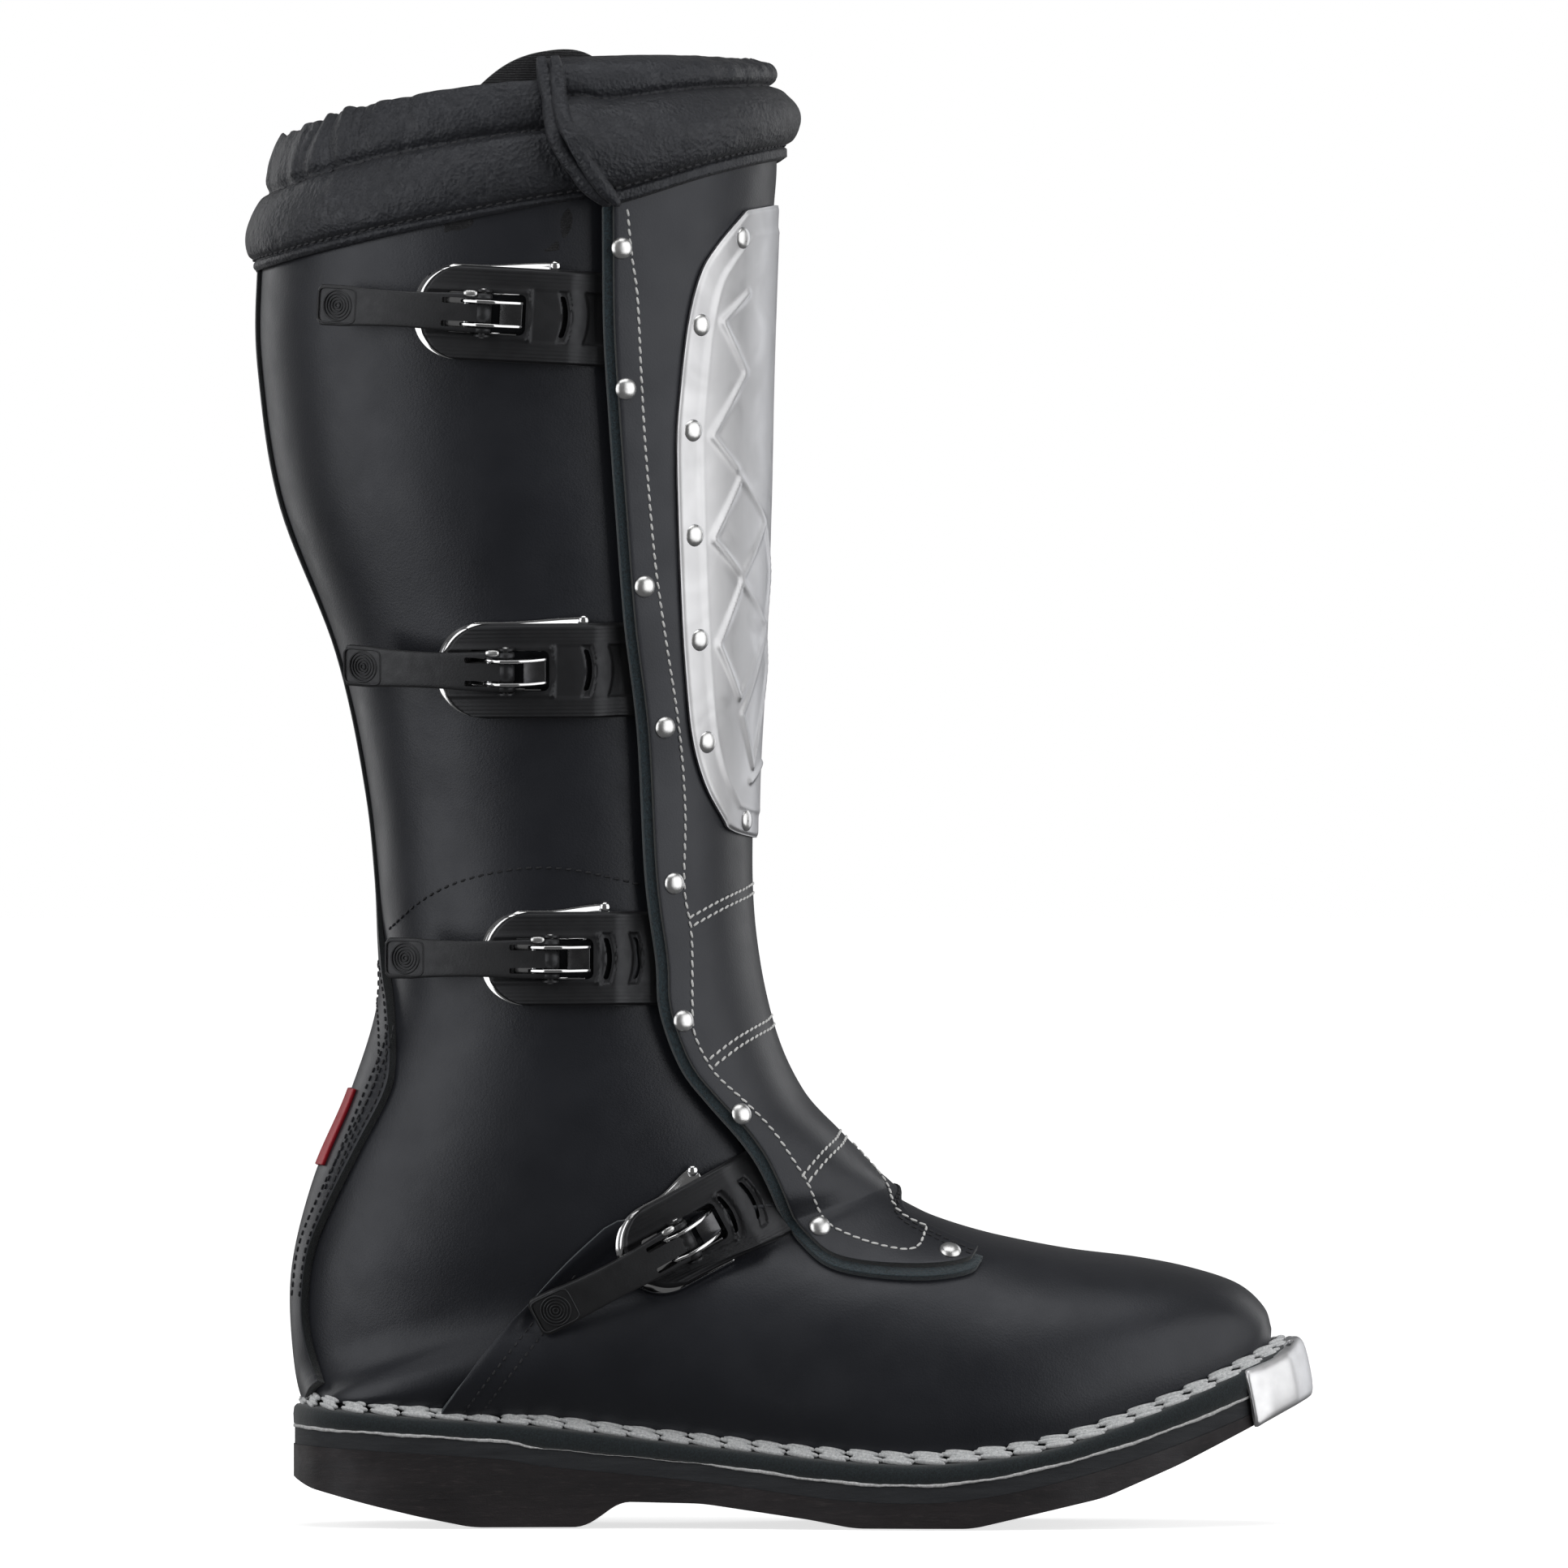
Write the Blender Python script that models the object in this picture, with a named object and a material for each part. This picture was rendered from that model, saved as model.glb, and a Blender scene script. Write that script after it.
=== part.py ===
"""Off-road riding boot, right foot: leather upper on a stitched sole, a wrap-over front flap with a steel
shin plate, and four over-centre lever buckles. +X is the toe, +Z is up and -Y is the outer side.
Lengths here are millimetres, and MM turns them into Blender's metres."""

import math

import bmesh
import bpy
import numpy as np
from mathutils import Matrix, Vector

MM = 0.001

# ---------------------------------------------------------------- the boot's outer leather surface
# Closed rings of the shaft and the back of the heel: front x, z, rear x, z, half-width,
# and how much higher the ring is at its rear corners.
SHAFT_RINGS = [
    (80.0, 458.0, -54.0, 438.0, 55.0, 0.0),
    (83.0, 420.0, -66.5, 400.0, 59.5, 0.0),
    (82.0, 398.0, -69.3, 378.0, 60.0, 0.0),
    (80.5, 355.0, -68.9, 352.0, 59.0, 0.0),
    (79.5, 310.0, -62.5, 312.0, 56.5, 0.0),
    (78.0, 265.0, -45.2, 266.0, 51.0, 0.0),
    (76.0, 222.0, -35.9, 222.0, 45.5, 0.0),
    (76.6, 183.0, -32.2, 184.0, 43.0, 0.0),
    (82.5, 151.5, -30.5, 160.0, 42.5, 0.0),
    (92.0, 130.0, -39.0, 131.5, 42.0, 0.0),
    (104.2, 116.3, -50.0, 105.5, 41.5, 0.0),
    (114.6, 106.0, -56.6, 79.0, 40.0, 2.0),
    (121.0, 102.0, -56.8, 57.0, 38.0, 6.0),
    (125.0, 99.8, -53.5, 38.5, 36.5, 12.0),
]
# Rings of the foot, which end on the welt: front x, z, reach, shoulder x, y, z, welt x.
FOOT_RINGS = [
    (129.0, 97.6, 50.0, -50.0, 43.0, 44.0, -45.0),
    (136.0, 94.2, 50.0, -25.0, 46.0, 45.0, -22.0),
    (147.0, 90.5, 50.0, 24.0, 50.0, 48.0, 20.0),
    (159.0, 87.5, 50.0, 72.0, 56.0, 47.0, 66.0),
    (178.0, 84.0, 46.0, 115.0, 60.0, 45.0, 112.0),
    (198.4, 81.5, 42.0, 162.0, 59.0, 47.0, 160.0),
    (215.0, 77.0, 37.0, 198.0, 49.0, 52.0, 195.0),
    (229.0, 70.5, 28.0, 222.0, 36.0, 56.0, 219.0),
    (237.0, 63.5, 18.0, 234.5, 25.0, 58.5, 232.5),
    (240.0, 59.0, 9.0, 240.0, 12.0, 57.5, 239.5),
]
HEEL_CORNER = len(SHAFT_RINGS) - 1
LAST_RING = len(SHAFT_RINGS) + len(FOOT_RINGS) - 1
BEZIER_FULLNESS = 0.75

# ---------------------------------------------------------------- the sole, in plan and from the side
# Half-width of the sole along its length, heel to toe.
OUTLINE = [
    (-59.0, 0.0), (-57.0, 13.0), (-50.5, 25.0), (-39.0, 33.5), (-20.0, 37.5), (5.0, 36.5),
    (35.0, 34.5), (65.0, 37.0), (95.0, 44.5), (125.0, 51.5), (150.0, 54.0), (175.0, 52.5),
    (200.0, 46.5), (220.0, 38.0), (234.0, 28.0), (243.0, 16.5), (246.5, 7.0), (247.0, 0.0),
]
STITCH_HEIGHT = [
    (-60.0, 38.0), (-33.0, 35.2), (15.0, 31.7), (50.0, 27.5), (99.0, 22.1), (130.0, 20.3),
    (152.0, 21.8), (175.0, 25.8), (205.0, 36.2), (229.0, 47.0), (250.0, 58.0),
]
WELT_UNDERSIDE = [
    (-60.0, 30.3), (2.0, 26.5), (18.0, 24.1), (69.0, 19.1), (99.0, 15.1), (120.0, 13.4),
    (140.0, 13.6), (160.0, 16.4), (180.0, 21.1), (200.0, 27.0), (225.0, 36.2), (250.0, 47.0),
]
TREAD = [
    (-60.0, 15.6), (-55.0, 11.9), (-35.0, 6.7), (-20.0, 3.2), (-4.0, 0.0), (30.0, 0.0), (35.0, 3.2),
    (41.0, 7.7), (66.0, 7.2), (99.0, 2.5), (112.0, 0.0), (148.0, 0.0), (188.0, 9.2), (211.0, 19.0),
    (231.0, 29.0), (250.0, 38.5),
]
MIDSOLE = 5.6
TOUCH = 0.5
FEATHER_INSET = 5.5
TOE_DRIFT = 9.0
ARCH_PINCH = 0.14

# ---------------------------------------------------------------- layers, as distances from the surface
LEATHER = (-2.2, 0.0)
STIFFENER = (-5.4, -3.9)
HEEL_STIFFENER = (-5.6, -4.3)
LINING = (-8.6, -7.6)
BACKING = (1.4, 3.2)
FLAP_TOP = (3.7, 5.4)
FLAP_RAISE = 3.0
PLATE = (7.1, 8.3)
STRIP = (1.2, 2.7)

# ---------------------------------------------------------------- outlines on the outer side, as x, z
FLAP_EDGE = [
    (34.5, 400.0), (34.7, 366.3), (36.0, 341.5), (38.4, 306.8), (40.9, 274.5), (44.6, 242.3),
    (46.9, 197.7), (50.1, 172.1), (51.4, 156.7), (57.5, 139.6), (66.0, 127.7), (78.9, 112.3),
    (87.3, 97.7), (96.0, 85.8), (104.4, 78.9), (117.3, 75.9), (134.4, 75.1), (147.1, 76.9), (151.0, 80.6),
]
PLATE_EDGE = [
    (80.1, 400.3), (71.2, 389.4), (66.0, 380.4), (62.2, 365.1), (59.8, 344.5), (58.8, 329.1),
    (59.3, 303.6), (60.3, 277.8), (61.5, 258.7), (63.5, 239.6), (67.5, 225.4), (73.7, 213.8),
]
HEEL_STRIP_EDGE = [
    (-30.0, 172.9), (-27.8, 158.0), (-27.3, 140.6), (-29.5, 130.7), (-37.2, 115.8), (-45.9, 98.5),
    (-52.0, 83.6), (-54.0, 68.7), (-53.0, 56.3), (-49.0, 43.0),
]
VAMP_SEAM = [(38.4, 92.3), (24.8, 79.9), (12.4, 66.2), (2.5, 53.8), (-5.0, 43.9), (-10.4, 36.5)]
REAR_COLLAR_FOOT = [(-69.0, 383.0), (-50.1, 387.9), (-21.3, 394.3), (9.9, 400.5), (25.3, 403.2)]
REAR_COLLAR_TOP = [(-57.0, 424.0), (-41.0, 430.0), (-21.0, 435.0), (5.2, 438.5), (25.3, 440.0)]
FRONT_COLLAR_FOOT = [(26.0, 403.5), (35.2, 402.0), (62.0, 411.0), (84.0, 417.6)]
FRONT_COLLAR_TOP = [(17.9, 444.4), (49.6, 445.7), (80.6, 445.7)]
FRONT_COLLAR_FOLD = [(17.9, 444.0), (22.3, 420.9), (28.5, 408.5), (34.7, 402.5)]

FLAP_RIVETS = [
    (41.7, 388.1), (42.9, 345.5), (48.6, 285.7), (54.8, 243.0), (57.5, 195.7), (60.3, 154.0),
    (77.9, 125.7), (101.7, 91.5), (141.4, 84.1),
]
PLATE_RIVETS = [
    (78.4, 391.8), (65.7, 365.1), (63.2, 333.1), (63.7, 301.3), (65.2, 269.6), (67.5, 238.6), (79.4, 214.8),
]
RIVET_RADIUS = 3.35
RIVET_HEIGHT = 1.8

# ---------------------------------------------------------------- buckles
# Hinge x, z on the outer side, the strap's slope and the lever's lift in degrees, and along the strap from
# the hinge the adjusting slot and the end under the flap.
BUCKLES = [
    (0.0, 368.5, -3.0, 0.0, 23.4, 43.0),
    (7.4, 261.0, 0.0, 0.0, 23.4, 43.0),
    (20.3, 173.0, 0.0, 0.0, 16.6, 38.5),
    (59.8, 88.5, 28.0, 5.5, 16.6, 37.0),
]
HINGE_HEIGHT = 8.0
HINGE_RADIUS = 2.7
HINGE_PIN = 1.1
LINK_ARM = 5.0
LINK_PIN = 0.9
PIN_PLAY = 0.3
LEVER_HALF_WIDTH = 6.0
LEVER_LENGTH = 52.0
LEVER_BEND = 25.0
SLOT_INNER = 2.7
SLOT_OUTER = 4.4
SLOT_REAR = -11.5
LINK_INNER = 3.05
LINK_OUTER = 4.05
EAR = (6.4, 7.2)
STRAP_HALF = 14.3
STRAP_LEVEL = (3.1, 5.4)
STRAP_END_LEVEL = (0.6, 1.9)
BASE_LEVEL = (0.8, 1.8)

# ---------------------------------------------------------------- toe guard
GUARD_REAR = 231.5
GUARD_GAP = 0.5
GUARD_STEEL = 1.4
GUARD_LIP = 4.0


def clear_scene():
    for obj in list(bpy.data.objects):
        bpy.data.objects.remove(obj, do_unlink=True)


def new_collection(name):
    collection = bpy.data.collections.new(name)
    bpy.context.scene.collection.children.link(collection)
    return collection


def finish_of(name, color, roughness, metallic=0.0):
    material = bpy.data.materials.new(name)
    material.use_nodes = True
    shader = material.node_tree.nodes["Principled BSDF"]
    shader.inputs["Base Color"].default_value = (*color, 1.0)
    shader.inputs["Roughness"].default_value = roughness
    shader.inputs["Metallic"].default_value = metallic
    return material


def catmull(values, at):
    """The smooth curve through rows of values, read at fractional row numbers."""
    values = np.asarray(values, float)
    at = np.clip(np.asarray(at, float), 0, len(values) - 1)
    low = np.minimum(at.astype(int), len(values) - 2)
    f = (at - low).reshape(at.shape + (1,) * (values.ndim - 1))
    padded = np.concatenate([2 * values[:1] - values[1:2], values, 2 * values[-1:] - values[-2:-1]])
    a, b, c, d = (padded[low + k] for k in range(4))
    return b + 0.5 * f * (c - a + f * (2 * a - 5 * b + 4 * c - d + f * (3 * (b - c) + d - a)))


def smooth_line(points, per_span=8):
    return catmull(points, np.linspace(0, len(points) - 1, per_span * (len(points) - 1) + 1))


def height_along(points):
    line = smooth_line(points)
    return lambda x: np.interp(x, line[:, 0], line[:, 1])


def straight_along(points):
    x, z = np.array(points).T
    return lambda at: np.interp(at, x, z)


def smoothstep(value):
    value = np.clip(value, 0.0, 1.0)
    return value * value * (3 - 2 * value)


stitch_height = height_along(STITCH_HEIGHT)
welt_underside = height_along(WELT_UNDERSIDE)
tread = straight_along(TREAD)


def inset_outline(inset):
    """The sole's half outline moved inwards, as rows of x and half-width from heel to toe."""
    line = smooth_line(OUTLINE)
    along = np.gradient(line, axis=0)
    along /= np.linalg.norm(along, axis=1, keepdims=True)
    moved = line + inset * np.column_stack([along[:, 1], -along[:, 0]])
    moved[0] = line[0] + (inset, 0)
    moved[-1] = line[-1] - (inset, 0)
    moved = moved[np.concatenate([[True], moved[1:, 1] > 0])]
    moved = np.vstack([moved, line[-1] - (inset, 0)])
    return moved[np.argsort(moved[:, 0])]


FEATHER = inset_outline(FEATHER_INSET)


def feather_width(x):
    return np.interp(x, FEATHER[:, 0], FEATHER[:, 1], left=0.0)


def skewed(points):
    """Gives the symmetrical foot its inward toe and its hollow inner arch."""
    points = np.array(points, float)
    x, y, z = points[..., 0], points[..., 1], points[..., 2]
    arch = ARCH_PINCH * np.exp(-(((x - 50) / 42) ** 2)) * smoothstep((110 - z) / 50)
    points[..., 1] = np.where(y > 0, y * (1 - arch), y) + TOE_DRIFT * smoothstep((x - 80) / 170)
    return points


def ring_cage():
    rows = []
    for fx, fz, rx, rz, half, lift in SHAFT_RINGS:
        reach = half / BEZIER_FULLNESS
        rows.append([(fx, 0, fz), (fx, -reach, fz), (rx, -reach, rz + lift), (rx, 0, rz)])
    for fx, fz, reach, sx, sy, sz, welt_x in FOOT_RINGS:
        end = (welt_x, -feather_width(welt_x), stitch_height(welt_x) + 0.7)
        rows.append([(fx, 0, fz), (fx, -reach, fz), (sx, -sy, sz), end])
    return np.array(rows, float)


CAGE = ring_cage()


def surface(t, u):
    """Points of the outer leather: t runs from the top ring to the toe, u from the front (0) to the back or
    welt (1 outside, -1 inside)."""
    t, u = np.broadcast_arrays(np.asarray(t, float), np.asarray(u, float))
    cage = catmull(CAGE, t)
    foot = t > HEEL_CORNER
    end = cage[..., 3, :]
    cage[..., 3, 1] = np.where(foot, -feather_width(end[..., 0]), 0.0)
    cage[..., 3, 2] = np.where(foot, stitch_height(end[..., 0]) + 0.7, end[..., 2])
    v = np.minimum(np.abs(u), 1.0)[..., None]
    w = 1 - v
    point = w**3 * cage[..., 0, :] + 3 * w * w * v * cage[..., 1, :]
    point = point + 3 * w * v * v * cage[..., 2, :] + v**3 * cage[..., 3, :]
    point[..., 1] *= np.where(u < 0, -1.0, 1.0)
    return skewed(point)


def normal(t, u):
    t, u = np.broadcast_arrays(np.asarray(t, float), np.asarray(u, float))
    step = 2e-3
    across = surface(t, np.clip(u + step, -1, 1)) - surface(t, np.clip(u - step, -1, 1))
    down = surface(np.clip(t + step, 0, LAST_RING), u) - surface(np.clip(t - step, 0, LAST_RING), u)
    out = np.cross(across, down)
    out[..., 1] = np.where((np.abs(u) >= 1) & (t <= HEEL_CORNER), 0.0, out[..., 1])
    return out / np.linalg.norm(out, axis=-1, keepdims=True)


def offset(t, u, distance):
    return surface(t, u) + normal(t, u) * np.asarray(distance, float)[..., None]


SEARCH_T, SEARCH_U = np.meshgrid(np.linspace(0, LAST_RING, 460), np.linspace(0, 1, 121), indexing="ij")
SEARCH_SIDE = surface(SEARCH_T, SEARCH_U)[..., [0, 2]].reshape(-1, 2)


def locate(points):
    """t and u of the places on the outer side that are seen at these x, z."""
    wanted = np.atleast_2d(np.asarray(points, float))
    nearest = [int(((SEARCH_SIDE - place) ** 2).sum(axis=1).argmin()) for place in wanted]
    t, u = SEARCH_T.reshape(-1)[nearest], SEARCH_U.reshape(-1)[nearest]
    step = 1e-3
    for _ in range(5):
        here = surface(t, u)[:, [0, 2]]
        by_t = (surface(t + step, u)[:, [0, 2]] - here) / step
        by_u = (here - surface(t, u - step)[:, [0, 2]]) / step
        miss = wanted - here
        det = by_t[:, 0] * by_u[:, 1] - by_t[:, 1] * by_u[:, 0]
        det = np.where(np.abs(det) < 1e-3, np.inf, det)
        t = t + np.clip((miss[:, 0] * by_u[:, 1] - miss[:, 1] * by_u[:, 0]) / det, -0.1, 0.1)
        u = u + np.clip((by_t[:, 0] * miss[:, 1] - by_t[:, 1] * miss[:, 0]) / det, -0.02, 0.02)
        t, u = np.clip(t, 0, LAST_RING), np.clip(u, 0, 1)
    return t, u


def edge_by_t(points):
    t, u = locate(points)
    order = np.argsort(t)
    return lambda at: np.interp(at, t[order], u[order])


def edge_by_u(points):
    t, u = locate(points)
    order = np.argsort(u)
    return lambda at: np.interp(np.abs(at), u[order], t[order])


# ---------------------------------------------------------------- mesh makers
def mesh_object(name, points, faces, finish, collection, matrix=None):
    mesh = bpy.data.meshes.new(name)
    build = bmesh.new()
    made = [build.verts.new(Vector(point) * MM) for point in points]
    for face in faces:
        build.faces.new([made[index] for index in face])
    bmesh.ops.recalc_face_normals(build, faces=build.faces)
    if build.calc_volume(signed=True) < 0:
        bmesh.ops.reverse_faces(build, faces=build.faces)
    build.to_mesh(mesh)
    build.free()
    obj = bpy.data.objects.new(name, mesh)
    if finish is not None:
        mesh.materials.append(finish)
    if matrix is not None:
        obj.matrix_world = matrix
    collection.objects.link(obj)
    return obj


def thick_sheet(name, outer, inner, quads, finish, collection):
    """A closed solid between two matching point sets: quads on both, and a wall along every free edge."""
    _, first, index = np.unique(np.round(outer, 3), axis=0, return_index=True, return_inverse=True)
    index = index.reshape(-1)
    outer, inner = outer[first], inner[first]
    count = len(outer)
    used = {}
    faces = []
    for quad in quads:
        ring = [int(index[corner]) for corner in quad]
        for corners in (ring[:3], [ring[0], ring[2], ring[3]]):
            faces.append(corners)
            faces.append([corner + count for corner in reversed(corners)])
        for a, b in zip(ring, ring[1:] + ring[:1]):
            key = (min(a, b), max(a, b))
            used[key] = used.get(key, 0) + 1
    for (a, b), times in used.items():
        if times == 1:
            faces.append([a, b, b + count, a + count])
    return mesh_object(name, np.vstack([outer, inner]), faces, finish, collection)


def grid_quads(rows, columns, start=0, dropped=()):
    quads = []
    for i in range(rows - 1):
        for j in range(columns - 1):
            if (i, j) not in dropped:
                a = start + i * columns + j
                quads.append((a, a + 1, a + columns + 1, a + columns))
    return quads


def panel(name, grids, levels, finish, collection, dropped=()):
    """A closed panel of the boot between two distances from its surface, over grids of t and u."""
    outer, inner, quads, start = [], [], [], 0
    for t, u in grids:
        low, high = (level(t, u) if callable(level) else np.full(t.shape, level) for level in levels)
        outer.append(offset(t, u, high).reshape(-1, 3))
        inner.append(offset(t, u, low).reshape(-1, 3))
        quads += grid_quads(*t.shape, start, dropped)
        start += t.size
    return thick_sheet(name, np.vstack(outer), np.vstack(inner), quads, finish, collection)


def lofted(name, sections, finish, collection, matrix=None):
    """Equal closed sections joined in order, with both ends capped."""
    size = len(sections[0])
    points = [point for section in sections for point in section]
    faces = [list(range(size)), list(range(len(points) - size, len(points)))]
    for k in range(len(sections) - 1):
        for i in range(size):
            j = (i + 1) % size
            faces.append([k * size + i, k * size + j, (k + 1) * size + j, (k + 1) * size + i])
    return mesh_object(name, points, faces, finish, collection, matrix)


def prism(name, outline, low, high, finish, collection, matrix):
    """A side outline in x and z, pushed across y."""
    sections = [[(x, y, z) for x, z in outline] for y in (low, high)]
    return lofted(name, sections, finish, collection, matrix)


def rod(name, radius, length, finish, collection, matrix, sides=8):
    mesh = bpy.data.meshes.new(name)
    build = bmesh.new()
    turn = Matrix.Rotation(math.pi / 2, 4, "X")
    bmesh.ops.create_cone(
        build, cap_ends=True, segments=sides, radius1=radius * MM, radius2=radius * MM, depth=length * MM,
        matrix=turn,
    )
    build.to_mesh(mesh)
    build.free()
    obj = bpy.data.objects.new(name, mesh)
    if finish is not None:
        mesh.materials.append(finish)
    obj.matrix_world = matrix
    collection.objects.link(obj)
    return obj


def boolean(obj, other, operation="DIFFERENCE"):
    modifier = obj.modifiers.new(other.name, "BOOLEAN")
    modifier.operation = operation
    modifier.solver = "EXACT"
    modifier.object = other
    other.hide_render = True
    other.display_type = "WIRE"


# ---------------------------------------------------------------- grids of t and u
def both_sides(row_of, u, rows, mark=None):
    """Grids for a panel that goes round the back: row_of(u) gives its top and foot."""
    grids = []
    down = np.linspace(0, 1, rows)
    for side in (1, -1):
        top, foot = row_of(u)
        t = top + (foot - top) * down[:, None]
        if mark is not None:
            k = int(np.argmin(np.abs(t[:, -1] - mark)))
            share = (mark - top[-1]) / (foot[-1] - top[-1])
            t[k] = top + (foot - top) * share
        grids.append((t, side * np.broadcast_to(u, t.shape)))
    return grids


def coons(top, foot, left, right):
    """A grid of t, u pairs inside four edges that meet at the corners."""
    rows, columns = len(left), len(top)
    a = np.linspace(0, 1, rows)[:, None, None]
    b = np.linspace(0, 1, columns)[None, :, None]
    across = (1 - a) * top[None] + a * foot[None] + (1 - b) * left[:, None] + b * right[:, None]
    corners = (1 - a) * ((1 - b) * top[0] + b * top[-1]) + a * ((1 - b) * foot[0] + b * foot[-1])
    grid = across - corners
    return grid[..., 0], grid[..., 1]


def resampled(points, count):
    """Points of a t, u polyline at even steps, counting a whole turn of u as six rings."""
    points = np.asarray(points, float)
    gaps = np.hypot(np.diff(points[:, 0]), 6 * np.diff(points[:, 1]))
    along = np.concatenate([[0], np.cumsum(gaps)])
    at = np.linspace(0, along[-1], count)
    return np.column_stack([np.interp(at, along, points[:, k]) for k in (0, 1)])


FLAP_INNER_U = -0.42
TIP_ON_CREST = 12.9
TIP_INSIDE = 11.4


def flap_grid(rows, columns):
    collar = edge_by_u(FRONT_COLLAR_FOOT)
    left = np.column_stack(locate(FLAP_EDGE))
    across = np.linspace(left[0, 1], FLAP_INNER_U, 9)
    top = np.column_stack([collar(across) + 0.13, across])
    left[0] = top[0]
    right = np.array([top[-1], (TIP_INSIDE, FLAP_INNER_U)])
    foot = np.array([left[-1], (TIP_ON_CREST, 0.0), right[-1]])
    return coons(
        resampled(top, columns), resampled(foot, columns), resampled(left, rows), resampled(right, rows)
    )


flap_edge_u = edge_by_t(FLAP_EDGE)


def flap_raise(t, u):
    """How far the flap lifts over the strap ends, near its free edge."""
    edge = flap_edge_u(t)
    return FLAP_RAISE * smoothstep(1 - (edge - u) / 0.24)


def on_flap(level):
    return lambda t, u: level + flap_raise(t, u)


# ---------------------------------------------------------------- sole
def slab(name, inset, under, over, finish, collection, span=(-90.0, 300.0), steps=34):
    """A layer of the sole: the inset outline between two heights that change along x."""
    line = inset_outline(inset)
    line = line[(line[:, 0] >= span[0]) & (line[:, 0] <= span[1])]
    picked = line[np.unique(np.linspace(0, len(line) - 1, steps).astype(int))]
    x = picked[:, 0]
    y = np.maximum(picked[:, 1], 0.6)
    sets = []
    for height in (over(x), under(x)):
        pair = np.stack([np.column_stack([x, -y, height]), np.column_stack([x, y, height])], axis=1)
        sets.append(skewed(pair).reshape(-1, 3))
    return thick_sheet(name, *sets, grid_quads(len(x), 2), finish, collection)


def outline_loop(inset, steps):
    half = inset_outline(inset)
    half = half[np.unique(np.linspace(0, len(half) - 1, steps).astype(int))]
    outer = np.column_stack([half[:, 0], -half[:, 1]])
    return np.vstack([outer, (half[1:-1] * (1, 1))[::-1]])


def welt_ring(finish, collection):
    loops = [outline_loop(inset, 28) for inset in (0.0, 14.0)]
    sets = []
    for over in (True, False):
        rows = []
        for loop in loops:
            height = stitch_height(loop[:, 0]) - 1.0 if over else welt_underside(loop[:, 0])
            rows.append(np.column_stack([loop, height]))
        sets.append(skewed(np.vstack(rows)))
    count = len(loops[0])
    quads = [(i, (i + 1) % count, count + (i + 1) % count, count + i) for i in range(count)]
    return thick_sheet("welt", *sets, quads, finish, collection)


def sole(collection, finishes):
    joint = lambda x: welt_underside(x) - MIDSOLE
    slab("outsole", 0.0, tread, lambda x: joint(x) - TOUCH, finishes["rubber"], collection, steps=50)
    slab("midsole", 0.4, joint, lambda x: welt_underside(x) - TOUCH, finishes["midsole"], collection)
    welt_ring(finishes["suede"], collection)
    slab(
        "sole_filler", 15.0, lambda x: welt_underside(x) + TOUCH, lambda x: welt_underside(x) + 3.2,
        finishes["cork"], collection, steps=24,
    )
    shank(collection, finishes["steel"])
    slab(
        "insole_board", 15.2, lambda x: stitch_height(x) - 0.5, lambda x: stitch_height(x) + 2.8,
        finishes["board"], collection, steps=28,
    )


def shank(collection, finish):
    """The spring steel strip that stiffens the waist, under the insole."""
    x = np.linspace(-28, 96, 12)
    half = 8.0 * np.sqrt(np.clip(1 - ((x - 34) / 70) ** 4, 0.1, 1))
    sets = []
    for rise in (4.9, 3.7):
        height = welt_underside(x) + rise
        pair = np.stack([np.column_stack([x, -half, height]), np.column_stack([x, half, height])], axis=1)
        sets.append(skewed(pair).reshape(-1, 3))
    return thick_sheet("shank", *sets, grid_quads(len(x), 2), finish, collection)


def toe_guard(collection, finish):
    """A steel strip bent round the toe of the sole, with a lip above the welt and one below the tread."""
    half = inset_outline(-GUARD_GAP)
    half = half[half[:, 0] >= GUARD_REAR]
    half = half[np.unique(np.linspace(0, len(half) - 1, 9).astype(int))]
    path = np.vstack([half * (1, -1), half[:-1][::-1]])
    along = np.gradient(path, axis=0)
    along /= np.linalg.norm(along, axis=1, keepdims=True)
    away = np.column_stack([along[:, 1], -along[:, 0]])
    sections = []
    for place, out in zip(path, away):
        over = lambda d: float(stitch_height(place[0] + out[0] * d)) + 1.8
        under = lambda d: float(tread(place[0] + out[0] * d)) - 0.6
        profile = [
            (-GUARD_LIP, over(-GUARD_LIP)), (0, over(0)), (0, under(0)), (-GUARD_LIP, under(-GUARD_LIP)),
            (-GUARD_LIP, under(-GUARD_LIP) - GUARD_STEEL), (GUARD_STEEL, under(0) - GUARD_STEEL),
            (GUARD_STEEL + 1.2, (under(0) + over(0)) / 2 + 3), (GUARD_STEEL, over(0) + GUARD_STEEL),
            (-GUARD_LIP, over(-GUARD_LIP) + GUARD_STEEL),
        ]
        ring = [(place[0] + out[0] * d, place[1] + out[1] * d, z) for d, z in profile]
        sections.append(skewed(np.array(ring)))
    return lofted("toe_guard", sections, finish, collection)


# ---------------------------------------------------------------- upper
SHAFT_FRONT_U = 0.26
SHAFT_TOP = 2.0
QUARTER_U = np.linspace(SHAFT_FRONT_U, 1.0, 11)


def vamp_seam_t(shift=0.0):
    by_u = edge_by_u(VAMP_SEAM)
    crest = 11.9

    def at(u):
        u = np.abs(u)
        low = locate([VAMP_SEAM[0]])[1][0]
        lead = crest + (by_u(low) - crest) * smoothstep(u / low)
        return np.where(u < low, lead, by_u(u)) + shift

    return at


def quarter(collection, finish):
    collar = edge_by_u(REAR_COLLAR_FOOT)
    seam = vamp_seam_t(-0.05)
    rows = lambda u: (collar(u) + 0.06, seam(u))
    grids = both_sides(rows, QUARTER_U, 17, HEEL_CORNER)
    return panel("quarter", grids, LEATHER, finish, collection)


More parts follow.
